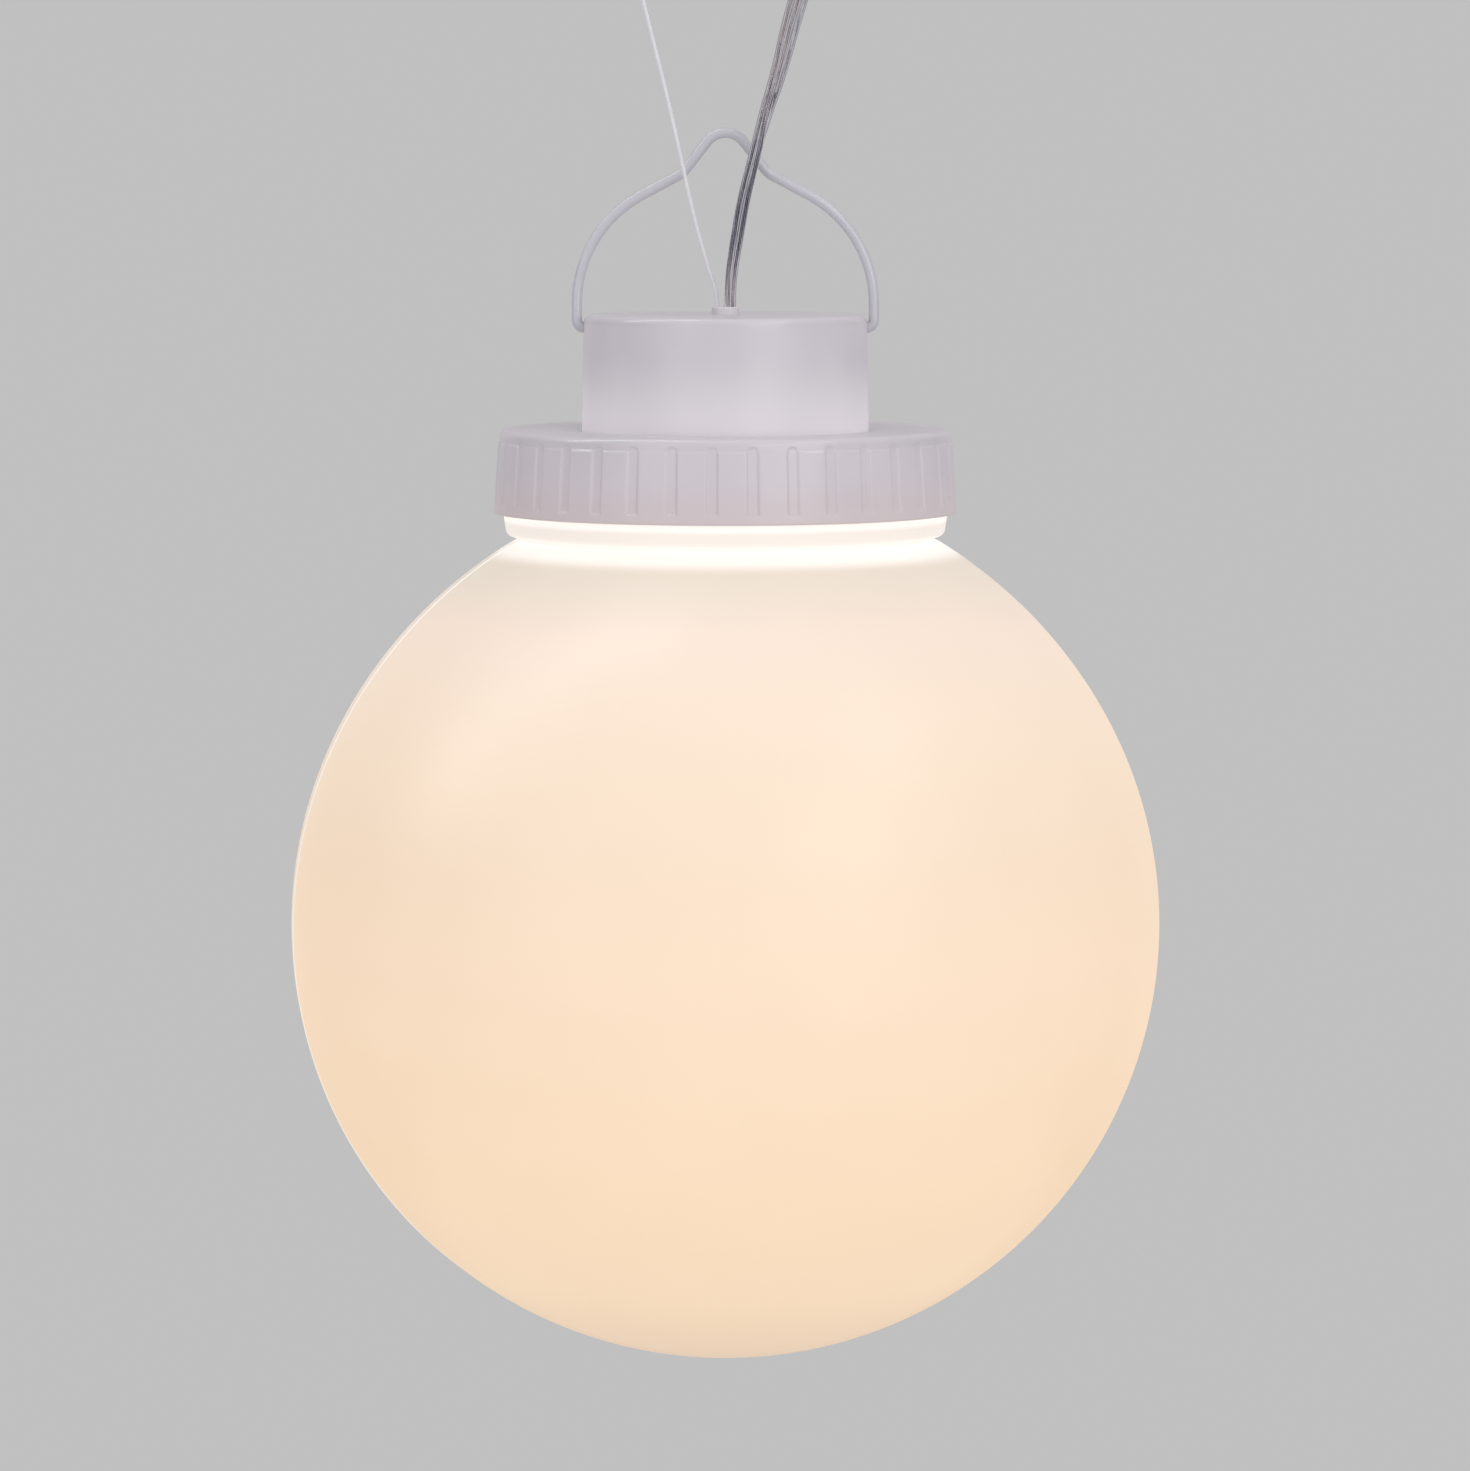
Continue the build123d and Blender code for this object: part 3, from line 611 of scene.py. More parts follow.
def makeLight():
    for name, lamp in lamps.items():
        data = bpy.data.lights.new(name, "AREA")
        data.size, data.energy, data.color = lamp.size, lamp.power, lamp.colour
        light = addPiece(name, data)
        light.location = lamp.stand
        light.rotation_euler = (Vector(studio.aim) - light.location).to_track_quat("-Z", "Y").to_euler()
    sky = Finish("studio", bpy.data.worlds.new("studio"))
    rays = sky.outputs("LightPath")
    seen, glossy = rays["Is Camera Ray"], rays["Is Glossy Ray"]
    mirrored = glossy + rays["Is Transmission Ray"]
    across, ahead, up = sky.axes(sky.node("TexCoord", output="Generated"))
    flank = sky.span(abs(across), *studio.flankFrom)
    below = sky.span(up, *studio.groundFrom, 1.0, 0.0)
    dark = (flank + below - flank * below) * (1 - seen)  # dark sides and ground give clear plastic its edges
    around = sky.mix(dark, studio.backdrop, studio.flanks)
    strip = sky.span(abs(ahead), *studio.stripHalf, 1.0, 0.0)
    strip = strip * (across < studio.stripAcross) * (up > studio.stripUp)
    around = sky.mix(strip * glossy, around, studio.strip)  # a bright strip that only gloss shows
    shown, soft = (sky.node("Background", {0: colour}) for colour in (around, studio.soft))
    blend = sky.node("MixShader", {0: seen + mirrored, 1: soft, 2: shown})
    bpy.context.scene.world = sky.done(blend, "World")


floor = Sizes(radius=0.55, height=-0.55)


def makeFloor():
    bm = bmesh.new()
    bmesh.ops.create_circle(bm, cap_ends=True, segments=96, radius=floor.radius)
    bmesh.ops.translate(bm, verts=bm.verts, vec=(0, 0, floor.height))
    disc = fromBmesh("floor", bm, False)
    f = Finish("floor_paper")
    base = f.mix(f.noise(14.0, 3.0), (0.62, 0.62, 0.62), (0.58, 0.58, 0.585))
    disc.data.materials.append(f.painted(Base_Color=base, Roughness=0.85))


bpy.context.scene.view_settings.view_transform = "Standard"
makeCamera()
makeLight()
makeFloor()
print("camera, light and floor")


cable = Sizes(  # length, share and diameter in metres, twist in radians, the other measures in mm
    route=[
        (0.85, 0, -38.484), (0.85, 0, -33.0), (2.3, -2.0, -24.2), (4.2, -4.5, -13.8), (6.9, -6.5, -3.8),
        (9.2, -7.4, 5.4), (12.4, -8.0, 15.4), (14.8, -8.7, 25.8), (17.7, -9.1, 35.0)],
    length=0.0764, diameter=0.0032, insulation=0.72, conductor=0.24, spread=0.84,
    pitch=1.5, flatFrom=0.46, flatTo=0.98, twist=2.2, strands=3, steps=120, share=0.076,
)
cord = Sizes(  # length and diameter in metres, the other measures in mm
    route=[
        (-1.9, 0, -38.484), (-1.9, 0, -35.6), (-3.7, -1.2, -30.4), (-7.3, -3.6, -17.6), (-10.5, -5.6, -2.6),
        (-13.9, -6.6, 12.2), (-17.0, -7.3, 24.2), (-19.5, -7.8, 34.8)],
    length=0.0760, diameter=0.0009, knotRadius=1.05, knotLength=3.6, wraps=3.0, loop=5.0,
)
connector = Sizes(
    neck=2.6, neckEnd=3.5, neckLength=6.0, ribs=5, ribFrom=0.6, ribPitch=1.05,
    ribWidth=0.55, ribDepth=0.45, body=4.6, bodyLength=15.0, waist=4.15, rounding=0.6,
    nut=5.6, nutLength=7.0, nutEdge=0.35, fluteEnd=1.6, flutes=18, fluteDepth=0.4,
    pin=2.75, pinLength=9.5, bore=2.05, boreDepth=5.0,
    contact=0.45, contactDrop=1.2, contacts=(3, 1.05, 90),
)


def routeCurve(name, route):
    data = bpy.data.curves.new(name, "CURVE")
    data.dimensions = "3D"
    data.resolution_u = 16
    spline = data.splines.new("NURBS")
    spline.points.add(len(route) - 1)
    for point, place in zip(spline.points, route):
        point.co = (*metres(place), 1)
    spline.order_u = 3
    spline.use_endpoint_u = True
    return addPiece(name, data)


def routePoints(curve):
    line = evaluated(curve)
    points = [vertex.co.copy() for vertex in line.vertices]
    bpy.data.meshes.remove(line)
    return points


def endFrame(route):  # puts Z along the last run of a route, from its last point
    last, before = Vector(route[-1]) * mm, Vector(route[-2]) * mm
    return Matrix.Translation(last) @ (last - before).to_track_quat("Z", "Y").to_matrix().to_4x4()


def strandsTree():  # wires in a slow twist that come to lie side by side further along
    tree = ShapeTree("strandsAlongRoute", ("Radius",), ("Sides",))
    line = tree.shape("ResampleCurve", {"Curve": tree["Geometry"], "Count": cable.steps})
    points = tree.shape("Points", {"Count": cable.strands})
    copies = tree.shape("InstanceOnPoints", {"Points": points, "Instance": line})
    named = tree.kept(copies, "strand", tree.shape("InputIndex"), domain="INSTANCE")
    lines = tree.shape("RealizeInstances", {0: named})
    strand = tree.shape("InputNamedAttribute", {"Name": "strand"}, data_type="FLOAT")
    along, length = (tree.shape("SplineParameter", output=i) for i in (0, 1))
    flat = tree.span(along, cable.flatFrom, cable.flatTo)
    tangent = tree.shape("InputTangent")
    side = tree.vector("NORMALIZE", tree.vector("CROSS_PRODUCT", tangent, (0.0, 1.0, 0.0)))
    front = tree.vector("CROSS_PRODUCT", side, tangent)
    turn = strand * (2 * pi / cable.strands) + (pi - cable.twist) + along * cable.twist
    row = (strand - (cable.strands - 1) / 2) * (cable.pitch * mm)
    bundled = turn.cosine() * (cable.spread * mm)
    across = flat * (row - bundled) + bundled
    ahead = turn.sine() * (cable.spread * mm) * (1.0 - flat)
    offset = tree.vector("ADD", tree.vector("SCALE", side, across), tree.vector("SCALE", front, ahead))
    lines = tree.kept(tree.moved(lines, Offset=offset), "along", length)
    ring = tree.shape("CurvePrimitiveCircle", {"Resolution": tree["Sides"], "Radius": tree["Radius"]})
    whole = tree.vector("DIVIDE", tree.shape("InputPosition"),
                        tree.point(tree["Radius"], tree["Radius"], 1.0))
    return tree.done(tree.swept(lines, tree.kept(ring, "profile", whole, "FLOAT_VECTOR")))


def makeConnector(place):
    c = connector
    body, nut = c.neckLength, c.neckLength + c.bodyLength
    end = nut + c.nutLength
    tip = end + c.pinLength
    floorAt = tip - c.boreDepth
    ribs = []
    for k in range(c.ribs):  # the strain relief's flexible rings
        low = c.ribFrom + k * c.ribPitch
        wide = c.neck + (c.neckEnd - c.neck) * k / c.ribs
        thin = wide - c.ribDepth
        ribs += [(wide, low), (wide, low + c.ribWidth), (thin, low + c.ribWidth + 0.1), (thin, low + 0.95)]
    shape = rounded([
        (0, 0), (c.neck - 0.2, 0), *ribs, (c.neckEnd, body - 0.1), (c.body, body, 0.55),
        (c.body, body + 4.0, c.rounding), (c.waist, body + 5.2, c.rounding),
        (c.waist, nut - 4.2, c.rounding), (c.body, nut - 3.0, c.rounding), (c.body, nut - 0.25),
        (c.nut - c.nutEdge, nut)])
    fluted = (len(shape) + 2, len(shape) + 3)
    shape += [Vector(point) for point in (
        (c.nut, nut + c.nutEdge), (c.nut, nut + 1.0), (c.nut, nut + c.fluteEnd),
        (c.nut, end - c.fluteEnd), (c.nut, end - 1.0), (c.nut, end - c.nutEdge),
        (c.nut - c.nutEdge, end), (c.pin, end), (c.pin, tip - 0.3), (c.pin - 0.3, tip),
        (c.pin - 0.55, tip), (c.bore, tip - 0.2), (c.bore, floorAt), (0, floorAt))]

    def sectionAt(turn):
        dent = c.fluteDepth * (0.5 - 0.5 * cos(radians(turn * c.flutes)))
        points = list(shape)
        for i in fluted:
            points[i] = (shape[i][0] - dent, shape[i][1])
        return points

    shell = soften(lathe("connector_shell", wholeTurn(144), sectionAt), 32)
    shell.data.transform(place)
    dress(shell, plainFinish("connector_plastic", (0.63, 0.63, 0.645), (0.58, 0.58, 0.60), 0.42, 160.0),
          "connector_plastic", "cable_connector")
    top = tip - c.contactDrop
    contact = turned("contact_start", 16, rounded([
        (0, floorAt), (c.contact, floorAt), (c.contact, top, 0.3), (0, top)], 3))
    brass = plainFinish("contact_brass", (0.80, 0.66, 0.36), (0.72, 0.58, 0.30), 0.22, 300.0, 1.0)
    contacts = soften(onCircles(contact, brass, [c.contacts], "connector_contacts"), 40)
    contacts.data.transform(place)
    return shell, dress(contacts, brass, "standoff_brass")


def makeCable():
    tree = strandsTree()
    for name, radius, sides, finish in (
        ("cable_insulation", cable.insulation, 28, clearInsulation()),
        ("cable_conductors", cable.conductor, 16, tinnedStrands()),
    ):
        curve = routeCurve("cable_route", cable.route)
        line = routePoints(curve)
        piece = tree.run(curve, {"Radius": radius * mm, "Sides": sides, "Material": finish}, name)
        dress(soften(piece, 60), finish, "clear_pvc")
    shell, contacts = makeConnector(endFrame(cable.route))
    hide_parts("clear_cable")


def makeHangCord():
    finish = twistedCord()
    piece = routeCurve("cord_jacket", cord.route)
    piece.data.bevel_depth = cord.diameter / 2
    piece.data.bevel_resolution = 5
    piece.data.use_fill_caps = True
    dress(piece, finish, "cord_fibre", "hang_cord")
    thick, length, knot = cord.diameter / 2 / mm, cord.knotLength, cord.knotRadius
    wraps = wound("cord_wraps", finish, cord.wraps, knot, (length - 2 * thick) / cord.wraps,
                  thick, thick, thick, steps=90)
    core = turned("cord_core", 24, rounded([
        (0, 0), (knot - 0.2, 0, 0.3), (knot - 0.2, length, 0.3), (0, length)], 3))
    ring = turned("cord_ring", 64, arc(cord.loop, 0, thick, 0, 337.5, 15))
    rise = length + cord.loop - thick / 2
    ring.data.transform(placed(0, 0, rise) @ Matrix.Rotation(pi / 2, 4, "X"))
    loop = joined("cord_tied_loop", wraps, core, ring)
    loop.data.transform(endFrame(cord.route))
    dress(soften(loop, 60), finish, "cord_fibre", "cord_loop")
    return finish


makeCable()
cordFinish = makeHangCord()
print("cable and cord")


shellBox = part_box("globe")
globeRadius = (shellBox[1][0] - shellBox[0][0]) / 2 / mm
globeCentre = shellBox[0][2] / mm + globeRadius
rimHeight = shellBox[1][2] / mm - globeCentre
globe = Sizes(
    wall=2.0, shoulderLatitude=30.0, shoulderRadius=107.0, neck=48.7, rootDepth=0.9,
    lip=2.2, lipTaper=0.7, lipDrop=12.2, lipHeight=4.6, lipRounding=1.45, seamHeight=0.22,
    seamHalf=0.42, seamFades=(-0.999, -0.97), rimRounding=0.3, segments=216,
)
thread = Sizes(lead=5.0, turns=1.7, height=0.6, width=1.5, base=1.6, taper=0.06, steps=220)


def makeThread(name, finish, radius, lift, body, slot):
    base = globeCentre + rimHeight - globe.lipDrop + thread.base + lift
    ridge = wound(name, finish, thread.turns, radius, thread.lead, base, thread.height,
                  thread.width / 2, thread.taper, thread.steps)
    dress(ridge, finish, slot, body=body)


def globeSection():
    shift = globe.shoulderRadius - globeRadius
    across, up = unit(globe.shoulderLatitude)
    centreX, centreZ = -shift * across, -shift * up

    def side(inset, last):
        radius = globe.shoulderRadius - inset
        end = degrees(acos((last - centreX) / radius))
        low = arc(0, 0, globeRadius - inset, -90, globe.shoulderLatitude, 84)
        return low + arc(centreX, centreZ, radius, globe.shoulderLatitude, end, 24)[1:]

    neck, rounding = globe.neck, globe.rimRounding
    lip, root, bore = neck + globe.lip, neck - globe.rootDepth, neck - globe.wall
    outer, inner = side(0, root), side(globe.wall, bore)
    lipTop = rimHeight - globe.lipDrop
    lipFoot = lipTop - globe.lipHeight
    outline = rounded([
        *outer[:-1], (*outer[-1], 0.5), (root, lipFoot, 0.3),
        (lip - globe.lipTaper, lipFoot, globe.lipRounding), (lip, lipTop, 0.4), (neck, lipTop),
        (neck, rimHeight, rounding), (bore, rimHeight, rounding), *inner[::-1]])
    return [(point[0], point[1] + globeCentre) for point in outline], len(outer) - 1


def makeGlobe():
    section, outerCount = globeSection()
    half = globe.seamHalf
    seams = (opal.seamTurn, opal.seamTurn - 180)

    def offSeam(turn):
        return min(abs((turn - seam + 180) % 360 - 180) for seam in seams)

    turns = [seam + step for seam in seams for step in (-half, -0.3, -0.2, -0.1, 0.0, 0.1, 0.2, 0.3, half)]
    turns += [turn for turn in wholeTurn(globe.segments) if offSeam(turn) > 270 / globe.segments]
    turns.sort(key=lambda turn: turn % 360)

    def sectionAt(turn):
        off = offSeam(turn)
        if off > 0.4:
            return section
        rise = globe.seamHeight * (0.5 + 0.5 * cos(pi * off / half))
        points = list(section)
        for i in range(1, outerCount):
            out = Vector((section[i][0], section[i][1] - globeCentre)).normalized()
            out *= rise * easeIn(out.y, *globe.seamFades)  # the seam runs out at the foot
            points[i] = (section[i][0] + out.x, section[i][1] + out.y)
        return points

    finish = opalPlastic(shellBox[0][2], shellBox[1][2])
    shell = soften(lathe("globe_shell", turns, sectionAt), 40)
    dress(shell, finish, "opal_plastic", "globe", body="shade")
    makeThread("neck_thread", finish, globe.neck, 0, "shade", "opal_plastic")


makeGlobe()
print("globe")


ring = Sizes(
    grooves=36, first=-93.2, grooveWidth=2.5, grooveDepth=0.42, grooveFoot=2.3,
    grooveTopDrop=1.9, footRadius=53.1, topRadius=52.05, innerRadius=49.6, panelHeight=0.3,
    panelTopDrop=2.9, height=19.1, edgeThickness=3.0, crown=0.18, crownFrom=2.4,
    holeDrop=0.3, holeRadius=33.25, edgeRounding=1.6, footRounding=0.4, bevel=0.3,
    shoulder=0.6, soft=0.36, weld=0.004,
    across=[0, 0.35, 0.7, 0.88, 0.98, 1.06, 1.13, 1.19, 1.25, 1.31, 1.37, 1.44, 1.52, 1.64, 2.1, 3.2],
)


def makeRing():
    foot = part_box("collar")[0][2] / mm
    edge = foot + ring.height
    under, holeTop = edge - ring.edgeThickness, edge - ring.holeDrop
    panelTop, rounding = edge - ring.panelTopDrop, ring.edgeRounding
    grooveFoot, grooveTop = foot + ring.grooveFoot, edge - ring.grooveTopDrop
    half, soft, bevel = ring.grooveWidth / 2, ring.soft, ring.bevel
    base, hole, inner = ring.topRadius - ring.panelHeight, ring.holeRadius, ring.innerRadius
    wide, shoulder = ring.footRadius, ring.shoulder
    slope = (wide - ring.topRadius) / (panelTop - foot)

    def spread(low, high, step):
        count = max(1, round((high - low) / step))
        return [low + (high - low) * k / count for k in range(count)]

    def crownHeight(radius):  # a low dome from the edge to the hole
        share = (base - radius) / (base - hole)
        chord = edge - ring.holeDrop * share
        return chord + 4 * (ring.crown + ring.holeDrop / 2) * share * (1 - share)

    grooveEnd = grooveTop - half - 0.2
    heights = [
        *spread(foot + ring.footRounding, grooveFoot - bevel, 0.8),
        *spread(grooveFoot - bevel, grooveFoot + bevel, 0.07), *spread(grooveFoot + bevel, grooveEnd, 1.6),
        *spread(grooveEnd, edge - rounding, 0.09)]
    near, far = base - ring.crownFrom, hole + bevel
    crown = rounded([
        (base, edge - rounding - 0.1), (base, edge, rounding * 0.96), (near, crownHeight(near))], 8)[1:-1]
    radii = [near + (far - near) * k / 8 for k in range(9)]
    flat = [(radius, crownHeight(radius)) for radius in radii]
    inside = [(hole, holeTop - bevel), (hole, under), (inner - shoulder, under), (inner, under - shoulder),
              (inner, foot + bevel), (inner + bevel, foot)]
    footArc = rounded([
        (inner + 1, foot), (wide, foot, ring.footRounding), (wide - 0.05, foot + 1)], 5)[1:-1]

    def outside(height, across):
        sloped = wide - slope * (height - foot)
        step = easeIn(height, panelTop - soft, panelTop + soft)
        radius = sloped + (base - sloped) * step
        top = height - (grooveTop - half)
        away = max(abs(across) - half, grooveFoot - height) if top < 0 else hypot(across, top) - half
        depth = 1 - easeIn(away, -soft, soft)
        return radius + (min(radius, sloped - ring.grooveDepth) - radius) * depth

    middle = radians(1) * wide
    edgeTurn = 180 / ring.grooves
    turns = [side * offset / middle for offset in ring.across[1:] for side in (-1, 1)]
    turns = sorted([*turns, 0, -edgeTurn, edgeTurn])

    def sectionAt(turn):
        return footArc + [(outside(h, turn * middle), h) for h in heights] + crown + flat + inside

    finish = mouldedPlastic("ring_plastic")
    sector = lathe("ring_sector", turns, sectionAt, closed=False)
    whole = onCircles(sector, finish, [(ring.grooves, 0.0, ring.first)], "ring_whole", ring.weld * mm)
    collar = soften(joined("ribbed_ring", whole, outward=True), 50)
    dress(collar, finish, "ring_plastic", "collar", body="ring")
    makeThread("ring_thread", finish, inner, thread.lead / 2, "ring", "ring_plastic")


makeRing()
print("ribbed ring")


leds = Sizes(
    circles=[(6, 10.0, 30.0), (12, 21.0, 15.0), (20, 34.5, 9.0)],
    length=3.5, width=2.8, height=0.7, well=1.15, wellDepth=0.3,
    padLength=0.45, padHeight=0.32, padShare=0.75, padRounding=0.07,
)
screws = {  # facing is the head's way along Z
    "board_screws": Sizes(
        circle=(4, 28.0, 45.0), head=2.75, headHeight=1.9, dome=0.95, shank=1.5, length=8.0,
        pitch=0.7, recess=1.5, recessWidth=0.36, recessDepth=1.0, facing=-1),
    "driver_screws": Sizes(
        circle=(3, 22.0, 90.0), head=2.4, headHeight=1.6, dome=0.5, shank=1.25, length=6.0,
        pitch=0.5, recess=1.3, recessWidth=0.30, recessDepth=0.8, facing=1),
}


def ledShapes():  # a white frame with a round well, its lens, and its two soldered ends, facing down
    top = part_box("led_chips")[1][2] / mm
    low = top - leds.height
    x, y, well = leds.length / 2, leds.width / 2, leds.well
    floorAt = low + leds.wellDepth

    def frameAt(turn):  # from the board round the outside to the well
        c, s = unit(turn)
        wide = x - leds.padLength * 0.4
        side = (1 / (abs(c / wide) ** 10 + abs(s / y) ** 10)) ** 0.1
        return [(0, top), (side, top), (side, low + 0.1), (side - 0.1, low), (well + 0.12, low),
                (well, low + 0.06), (well - 0.12, floorAt), (0, floorAt)]

    body = lathe("led_frame_start", wholeTurn(40), frameAt)
    lens = turned("led_lens_start", 28, [
        (0, low + 0.28), (well - 0.13, low + 0.28), (well - 0.03, low + 0.08), (well * 0.6, low + 0.03),
        (0, low + 0.01)])
    bm = bmesh.new()
    for near, far in ((-x, leds.padLength - x), (x - leds.padLength, x)):
        slab(bm, metres((near, -y * leds.padShare, top - leds.padHeight)),
             metres((far, y * leds.padShare, top)), leds.padRounding * mm)
    return body, lens, fromBmesh("led_pad_start", bm)


def makeLeds():
    body, lens, pads = ledShapes()
    white = plainFinish("led_frame_white", (0.80, 0.79, 0.76), (0.74, 0.73, 0.70), 0.35, 900.0)
    phosphor = plainFinish("led_phosphor", (0.88, 0.66, 0.13), (0.80, 0.58, 0.10), 0.18, 1500.0,
                           Emission_Color=(0.95, 0.85, 0.62))
    solder = plainFinish("led_solder", (0.70, 0.70, 0.71), (0.60, 0.60, 0.62), 0.25, 800.0, 1.0)
    for shape, finish, name, slot, *replaced in (
        (body, white, "led_frames", "led_board_mask", "led_chips"),
        (lens, phosphor, "led_lenses", "led_phosphor"), (pads, solder, "led_solder_ends", "screw_steel"),
    ):
        dress(soften(onCircles(shape, finish, leds.circles, name), 40), finish, slot, *replaced)


def screwShape(s, seat):  # a cross-recess screw whose head rests on a level
    shank, pitch, head, foot = s.shank, s.pitch, s.head, -s.length
    core, crown = shank - 0.14, s.headHeight - s.dome
    rows = int((s.length - 0.3 - pitch * 1.2) / pitch + 1)

    def sectionAt(turn):
        c, t = unit(turn)
        points = [(0, foot), (shank * 0.55, foot)]
        at = foot + 0.3 + turn / 360 * pitch
        while at < -pitch * 1.2:  # the thread climbs one pitch a turn
            points += [(core, at), (shank, at + pitch * 0.5)]
            at += pitch
        points += [(core, -pitch * 0.9)] * (2 + 2 * rows - len(points))
        points += [(shank, -0.3), (shank, 0), (head - 0.1, 0), (head, 0.12), (head, crown)]
        for k in range(13):
            ahead, up = unit(90 * k / 12)
            out = head * ahead if k else head - 0.03
            depth = 1 - easeIn(min(abs(out * c), abs(out * t)), s.recessWidth * 0.8, s.recessWidth * 1.2)
            depth *= 1 - easeIn(out, s.recess * 0.85, s.recess * 1.1)
            points.append((max(out, 0), crown + s.dome * up - s.recessDepth * depth))
        return [(radius, seat + s.facing * height) for radius, height in points]

    return lathe("screw_start", wholeTurn(48), sectionAt)


def makeScrews():
    for node, s in screws.items():
        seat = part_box(node)[max(s.facing, 0)][2] / mm - s.facing * s.headHeight
        finish = plainFinish(node + "_steel", (0.66, 0.66, 0.68), (0.55, 0.55, 0.57), 0.24, 350.0, 1.0)
        heads = onCircles(screwShape(s, seat), finish, [s.circle], node + "_set")
        dress(soften(heads, 35), finish, "screw_steel", node)


makeLeds()
makeScrews()
print("LEDs and screws")


packages = {
    "rectifier": Sizes(legs=2, legWidth=1.0, inset=0.9, chamfer=0.5),
    "controller_chip": Sizes(legs=4, legWidth=0.42, inset=0.5, chamfer=0.3),
}
leg = Sizes(half=0.12, into=0.1, footHeight=0.22, shoulder=0.45, rounding=0.04)
mark = Sizes(radius=0.32, height=0.04, inset=0.8)
inductor = Sizes(place=(13.0, 4.0), waist=4.3, wire=0.45, turns=6.4, start=1.95)
block = Sizes(
    wells=[(-5.0, -16.0), (0.0, -16.0), (5.0, -16.0)], wellDepth=2.0, screw=1.42, screwHeight=1.1,
    slotDepth=0.35, slotHalf=0.2, headHeight=0.4, headDrop=0.16, headInset=(0.06, 0.16),
)


def makePackages():
    resin = plainFinish("chip_resin", (0.020, 0.020, 0.021), (0.032, 0.032, 0.034), 0.55, 1200.0, depth=0.03)
    tin = plainFinish("leg_tin", (0.66, 0.66, 0.67), (0.56, 0.56, 0.58), 0.28, 700.0, 1.0)
    thick, into, footHeight = metres((leg.half, leg.into, leg.footHeight))
    for node, p in packages.items():
        low, high = (Vector(corner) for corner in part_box(node))
        inset = p.inset * mm
        bm = bmesh.new()
        slab(bm, low + Vector((inset, 0, 0.1 * mm)), high - Vector((inset, 0, 0)), p.chamfer * mm * 0.5, 1)
        dot = (low.x / mm + p.inset + mark.inset, low.y / mm + mark.inset, high.z / mm)
        cone(bm, 20, mark.radius, mark.radius, mark.height, dot)
        dress(soften(fromBmesh(node + "_body", bm), 30), resin, "chip_resin", node)
        bm = bmesh.new()
        half, shoulder = p.legWidth / 2 * mm, (high.z - low.z) * leg.shoulder
        for side, outer, inner in ((-1, low.x, low.x + inset), (1, high.x, high.x - inset)):
            bend = outer - side * 0.45 * inset
            for k in range(p.legs):
                y = low.y + (high.y - low.y) * (k + 0.5) / p.legs
                for first, last, foot, top in (
                    (min(inner, bend) - into, max(inner, bend) + into, shoulder - thick, shoulder + thick),
                    (bend - thick, bend + thick, 0, shoulder),
                    (min(bend, outer), max(bend, outer), 0, footHeight),
                ):
                    slab(bm, (first, y - half, low.z + foot), (last, y + half, low.z + top),
                         leg.rounding * mm)
        dress(soften(fromBmesh(node + "_legs", bm), 30), tin, "screw_steel")


def makeWinding():
    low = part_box("inductor")[0][2] / mm
    copper = plainFinish(
        "winding_copper", (0.62, 0.26, 0.09), (0.50, 0.19, 0.06), 0.24, 500.0, 1.0, coat=0.6)
    thick = inductor.wire
    wire = wound("inductor_winding", copper, inductor.turns, inductor.waist + thick, thick * 2,
                 low + inductor.start, thick, thick, taper=0.005, steps=240)
    wire.data.transform(placed(*inductor.place, 0))
    dress(wire, copper, "standoff_brass")


def makeBlockScrews():
    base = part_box("terminal_block")[1][2] / mm - block.wellDepth
    top, radius = base + block.screwHeight, block.screw
    slotFloor = top - block.slotDepth
    foot, crown = (radius - inset for inset in block.headInset)
    parts = []
    for well in block.wells:
        shank = turned("well_screw", 32, rounded([
            (0, base), (radius, base), (radius, slotFloor, 0.2), (0, slotFloor)], 3))
        shank.data.transform(placed(*well, 0))
        parts.append(shank)
        for side in (-1, 1):  # the head's two halves, with the slot between them
            bm = bmesh.new()
            cone(bm, 32, foot, crown, block.headHeight, (*well, top - block.headDrop))
            cut = bmesh.ops.bisect_plane(
                bm, geom=[*bm.verts, *bm.edges, *bm.faces], plane_no=(0, -side, 0), clear_outer=True,
                plane_co=metres((well[0], well[1] + side * block.slotHalf, 0)))
            rim = [edge for edge in cut["geom_cut"] if isinstance(edge, bmesh.types.BMEdge)]
            bmesh.ops.holes_fill(bm, edges=rim)
            parts.append(fromBmesh("slotted_half", bm))
    steel = plainFinish("well_screw_steel", (0.64, 0.64, 0.65), (0.54, 0.54, 0.56), 0.26, 400.0, 1.0)
    dress(soften(joined("terminal_screws", *parts, outward=True), 35), steel, "screw_steel")


makePackages()
makeWinding()
makeBlockScrews()
print("driver details")


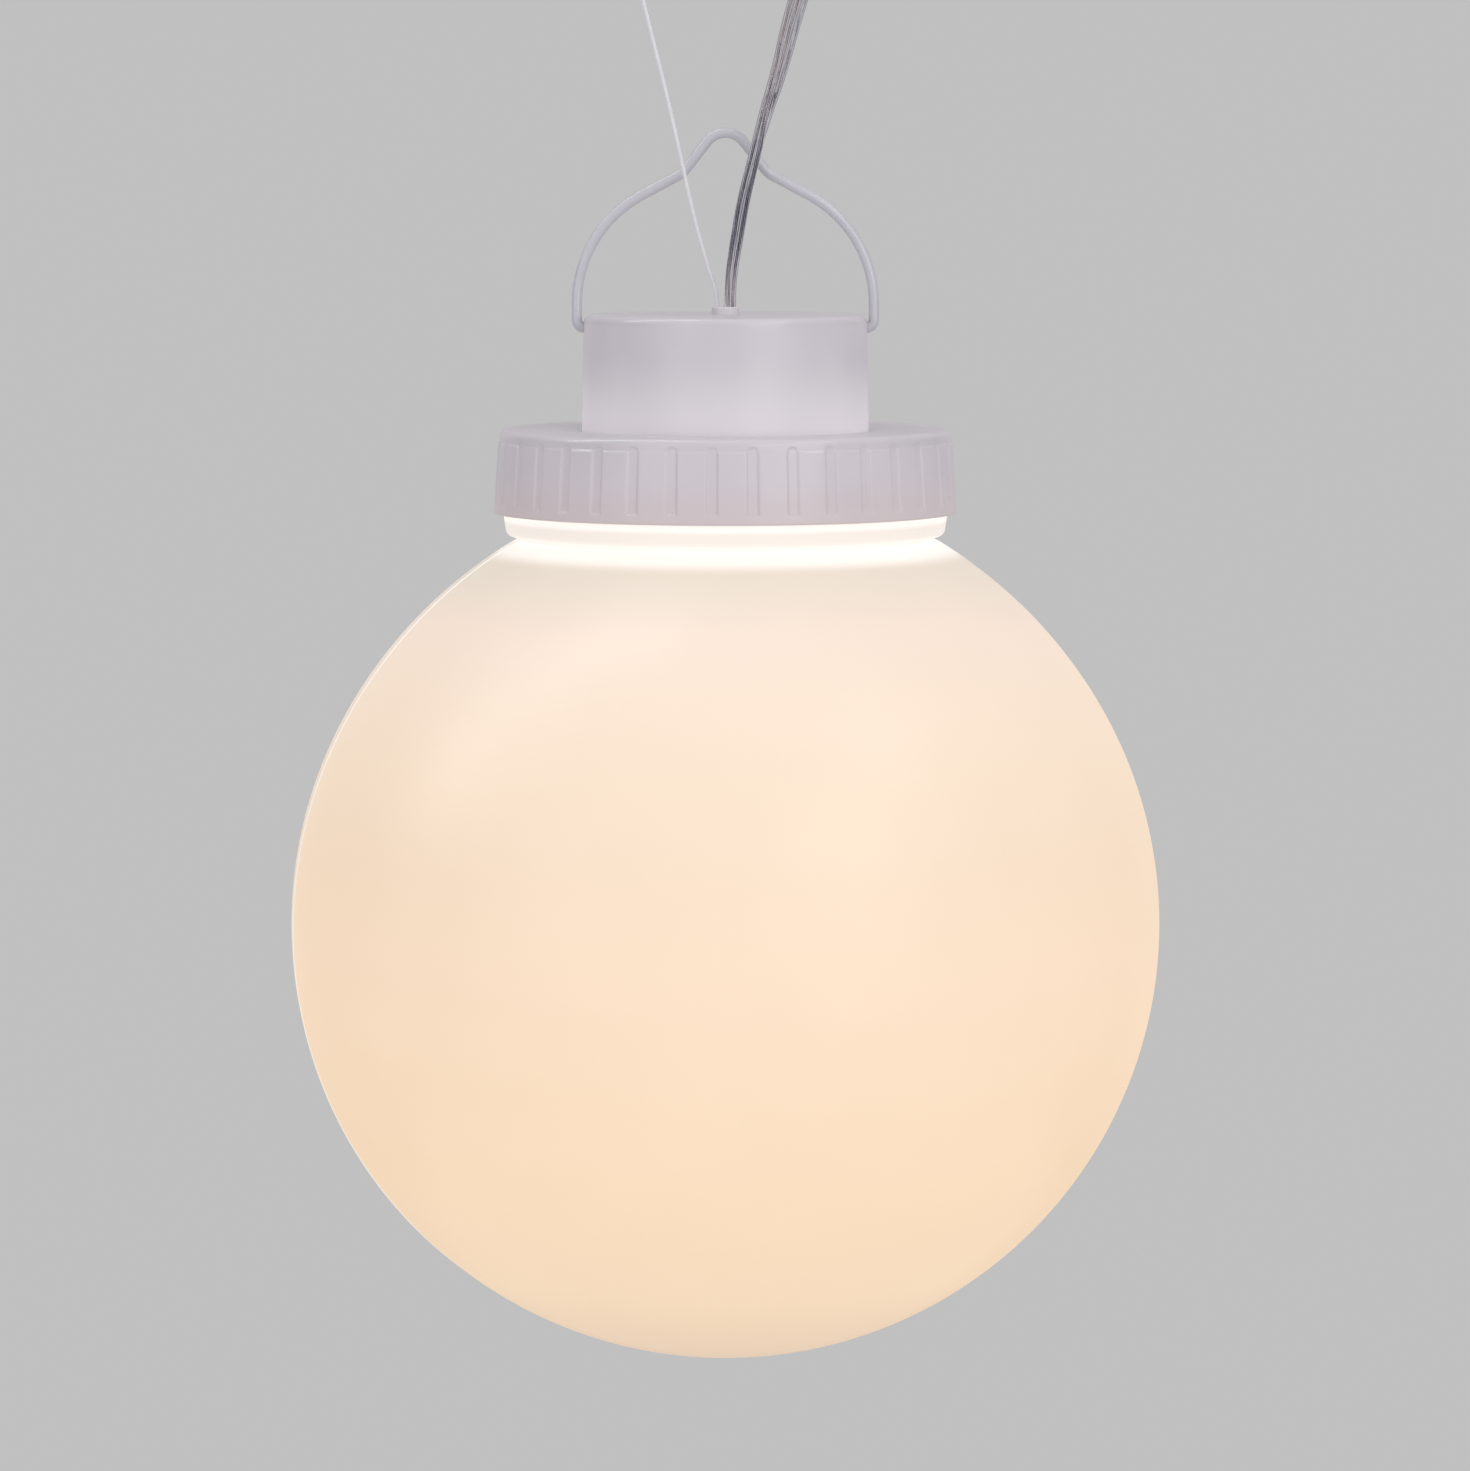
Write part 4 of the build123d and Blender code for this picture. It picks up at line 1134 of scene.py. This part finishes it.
def makeBail():  # the wire's own shape with its facets smoothed
    bm = bmesh.new()
    bm.from_mesh(nodes["bail"].data)
    bm.transform(nodes["bail"].matrix_world)
    bmesh.ops.remove_doubles(bm, verts=bm.verts, dist=0.001 * mm)
    dress(soften(fromBmesh("bail_wire", bm), 60), coatedWire(), "bail_enamel", "bail", body="hanger")


makeBail()
print("bail")


plainNodes = {
    "cable_gland": ("gland_plastic", (0.70, 0.68, 0.69), (0.64, 0.62, 0.64), 0.35, 240.0),
    "sealing_ring": ("seal_rubber", (0.66, 0.66, 0.64), (0.58, 0.58, 0.56), 0.62, 420.0, 0.0, 0.05),
    "standoffs": ("standoff_brass", (0.72, 0.55, 0.25), (0.62, 0.46, 0.19), 0.24, 260.0, 1.0),
    "inductor": ("ferrite", (0.030, 0.030, 0.033), (0.050, 0.050, 0.054), 0.60, 900.0, 0.0, 0.06),
    "terminal_block": ("block_plastic", (0.020, 0.17, 0.060), (0.016, 0.14, 0.050), 0.38, 260.0),
    "supply_cores": ("core_insulation", (0.58, 0.56, 0.62), (0.40, 0.37, 0.42), 0.18, 900.0, 0.0, 0.02, 0.8),
    "led_lead_red": ("lead_red", (0.48, 0.012, 0.010), (0.38, 0.010, 0.008), 0.34, 600.0),
    "led_lead_black": ("lead_black", (0.014, 0.014, 0.015), (0.024, 0.024, 0.026), 0.34, 600.0),
    "gland_nut": ("nut_plastic", (0.60, 0.60, 0.60), (0.54, 0.54, 0.545), 0.42, 300.0),
    "cable_tail": ("cable_tail_pvc", (0.60, 0.58, 0.63), (0.44, 0.41, 0.46), 0.16, 900.0, 0.0, 0.02, 0.8),
    "cable_tie": ("tie_nylon", (0.76, 0.76, 0.73), (0.70, 0.70, 0.67), 0.40, 500.0, 0.0, 0.04),
}
finishes = {
    **{node: plainFinish(*look) for node, look in plainNodes.items()},
    "cap_housing": mouldedPlastic("housing_plastic"), "heat_plate": turnedPlate(),
    "led_board": ledMask([radius for _, radius, _ in leds.circles]), "driver_board": greenBoard(),
    "capacitor": sleevedCan(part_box("capacitor")[1][2]), "cord_tail": cordFinish, "cord_knot": cordFinish,
}
for node, finish in finishes.items():
    for slot in nodes[node].material_slots:
        slot.link = "OBJECT"
        slot.material = finish
print("node finishes")
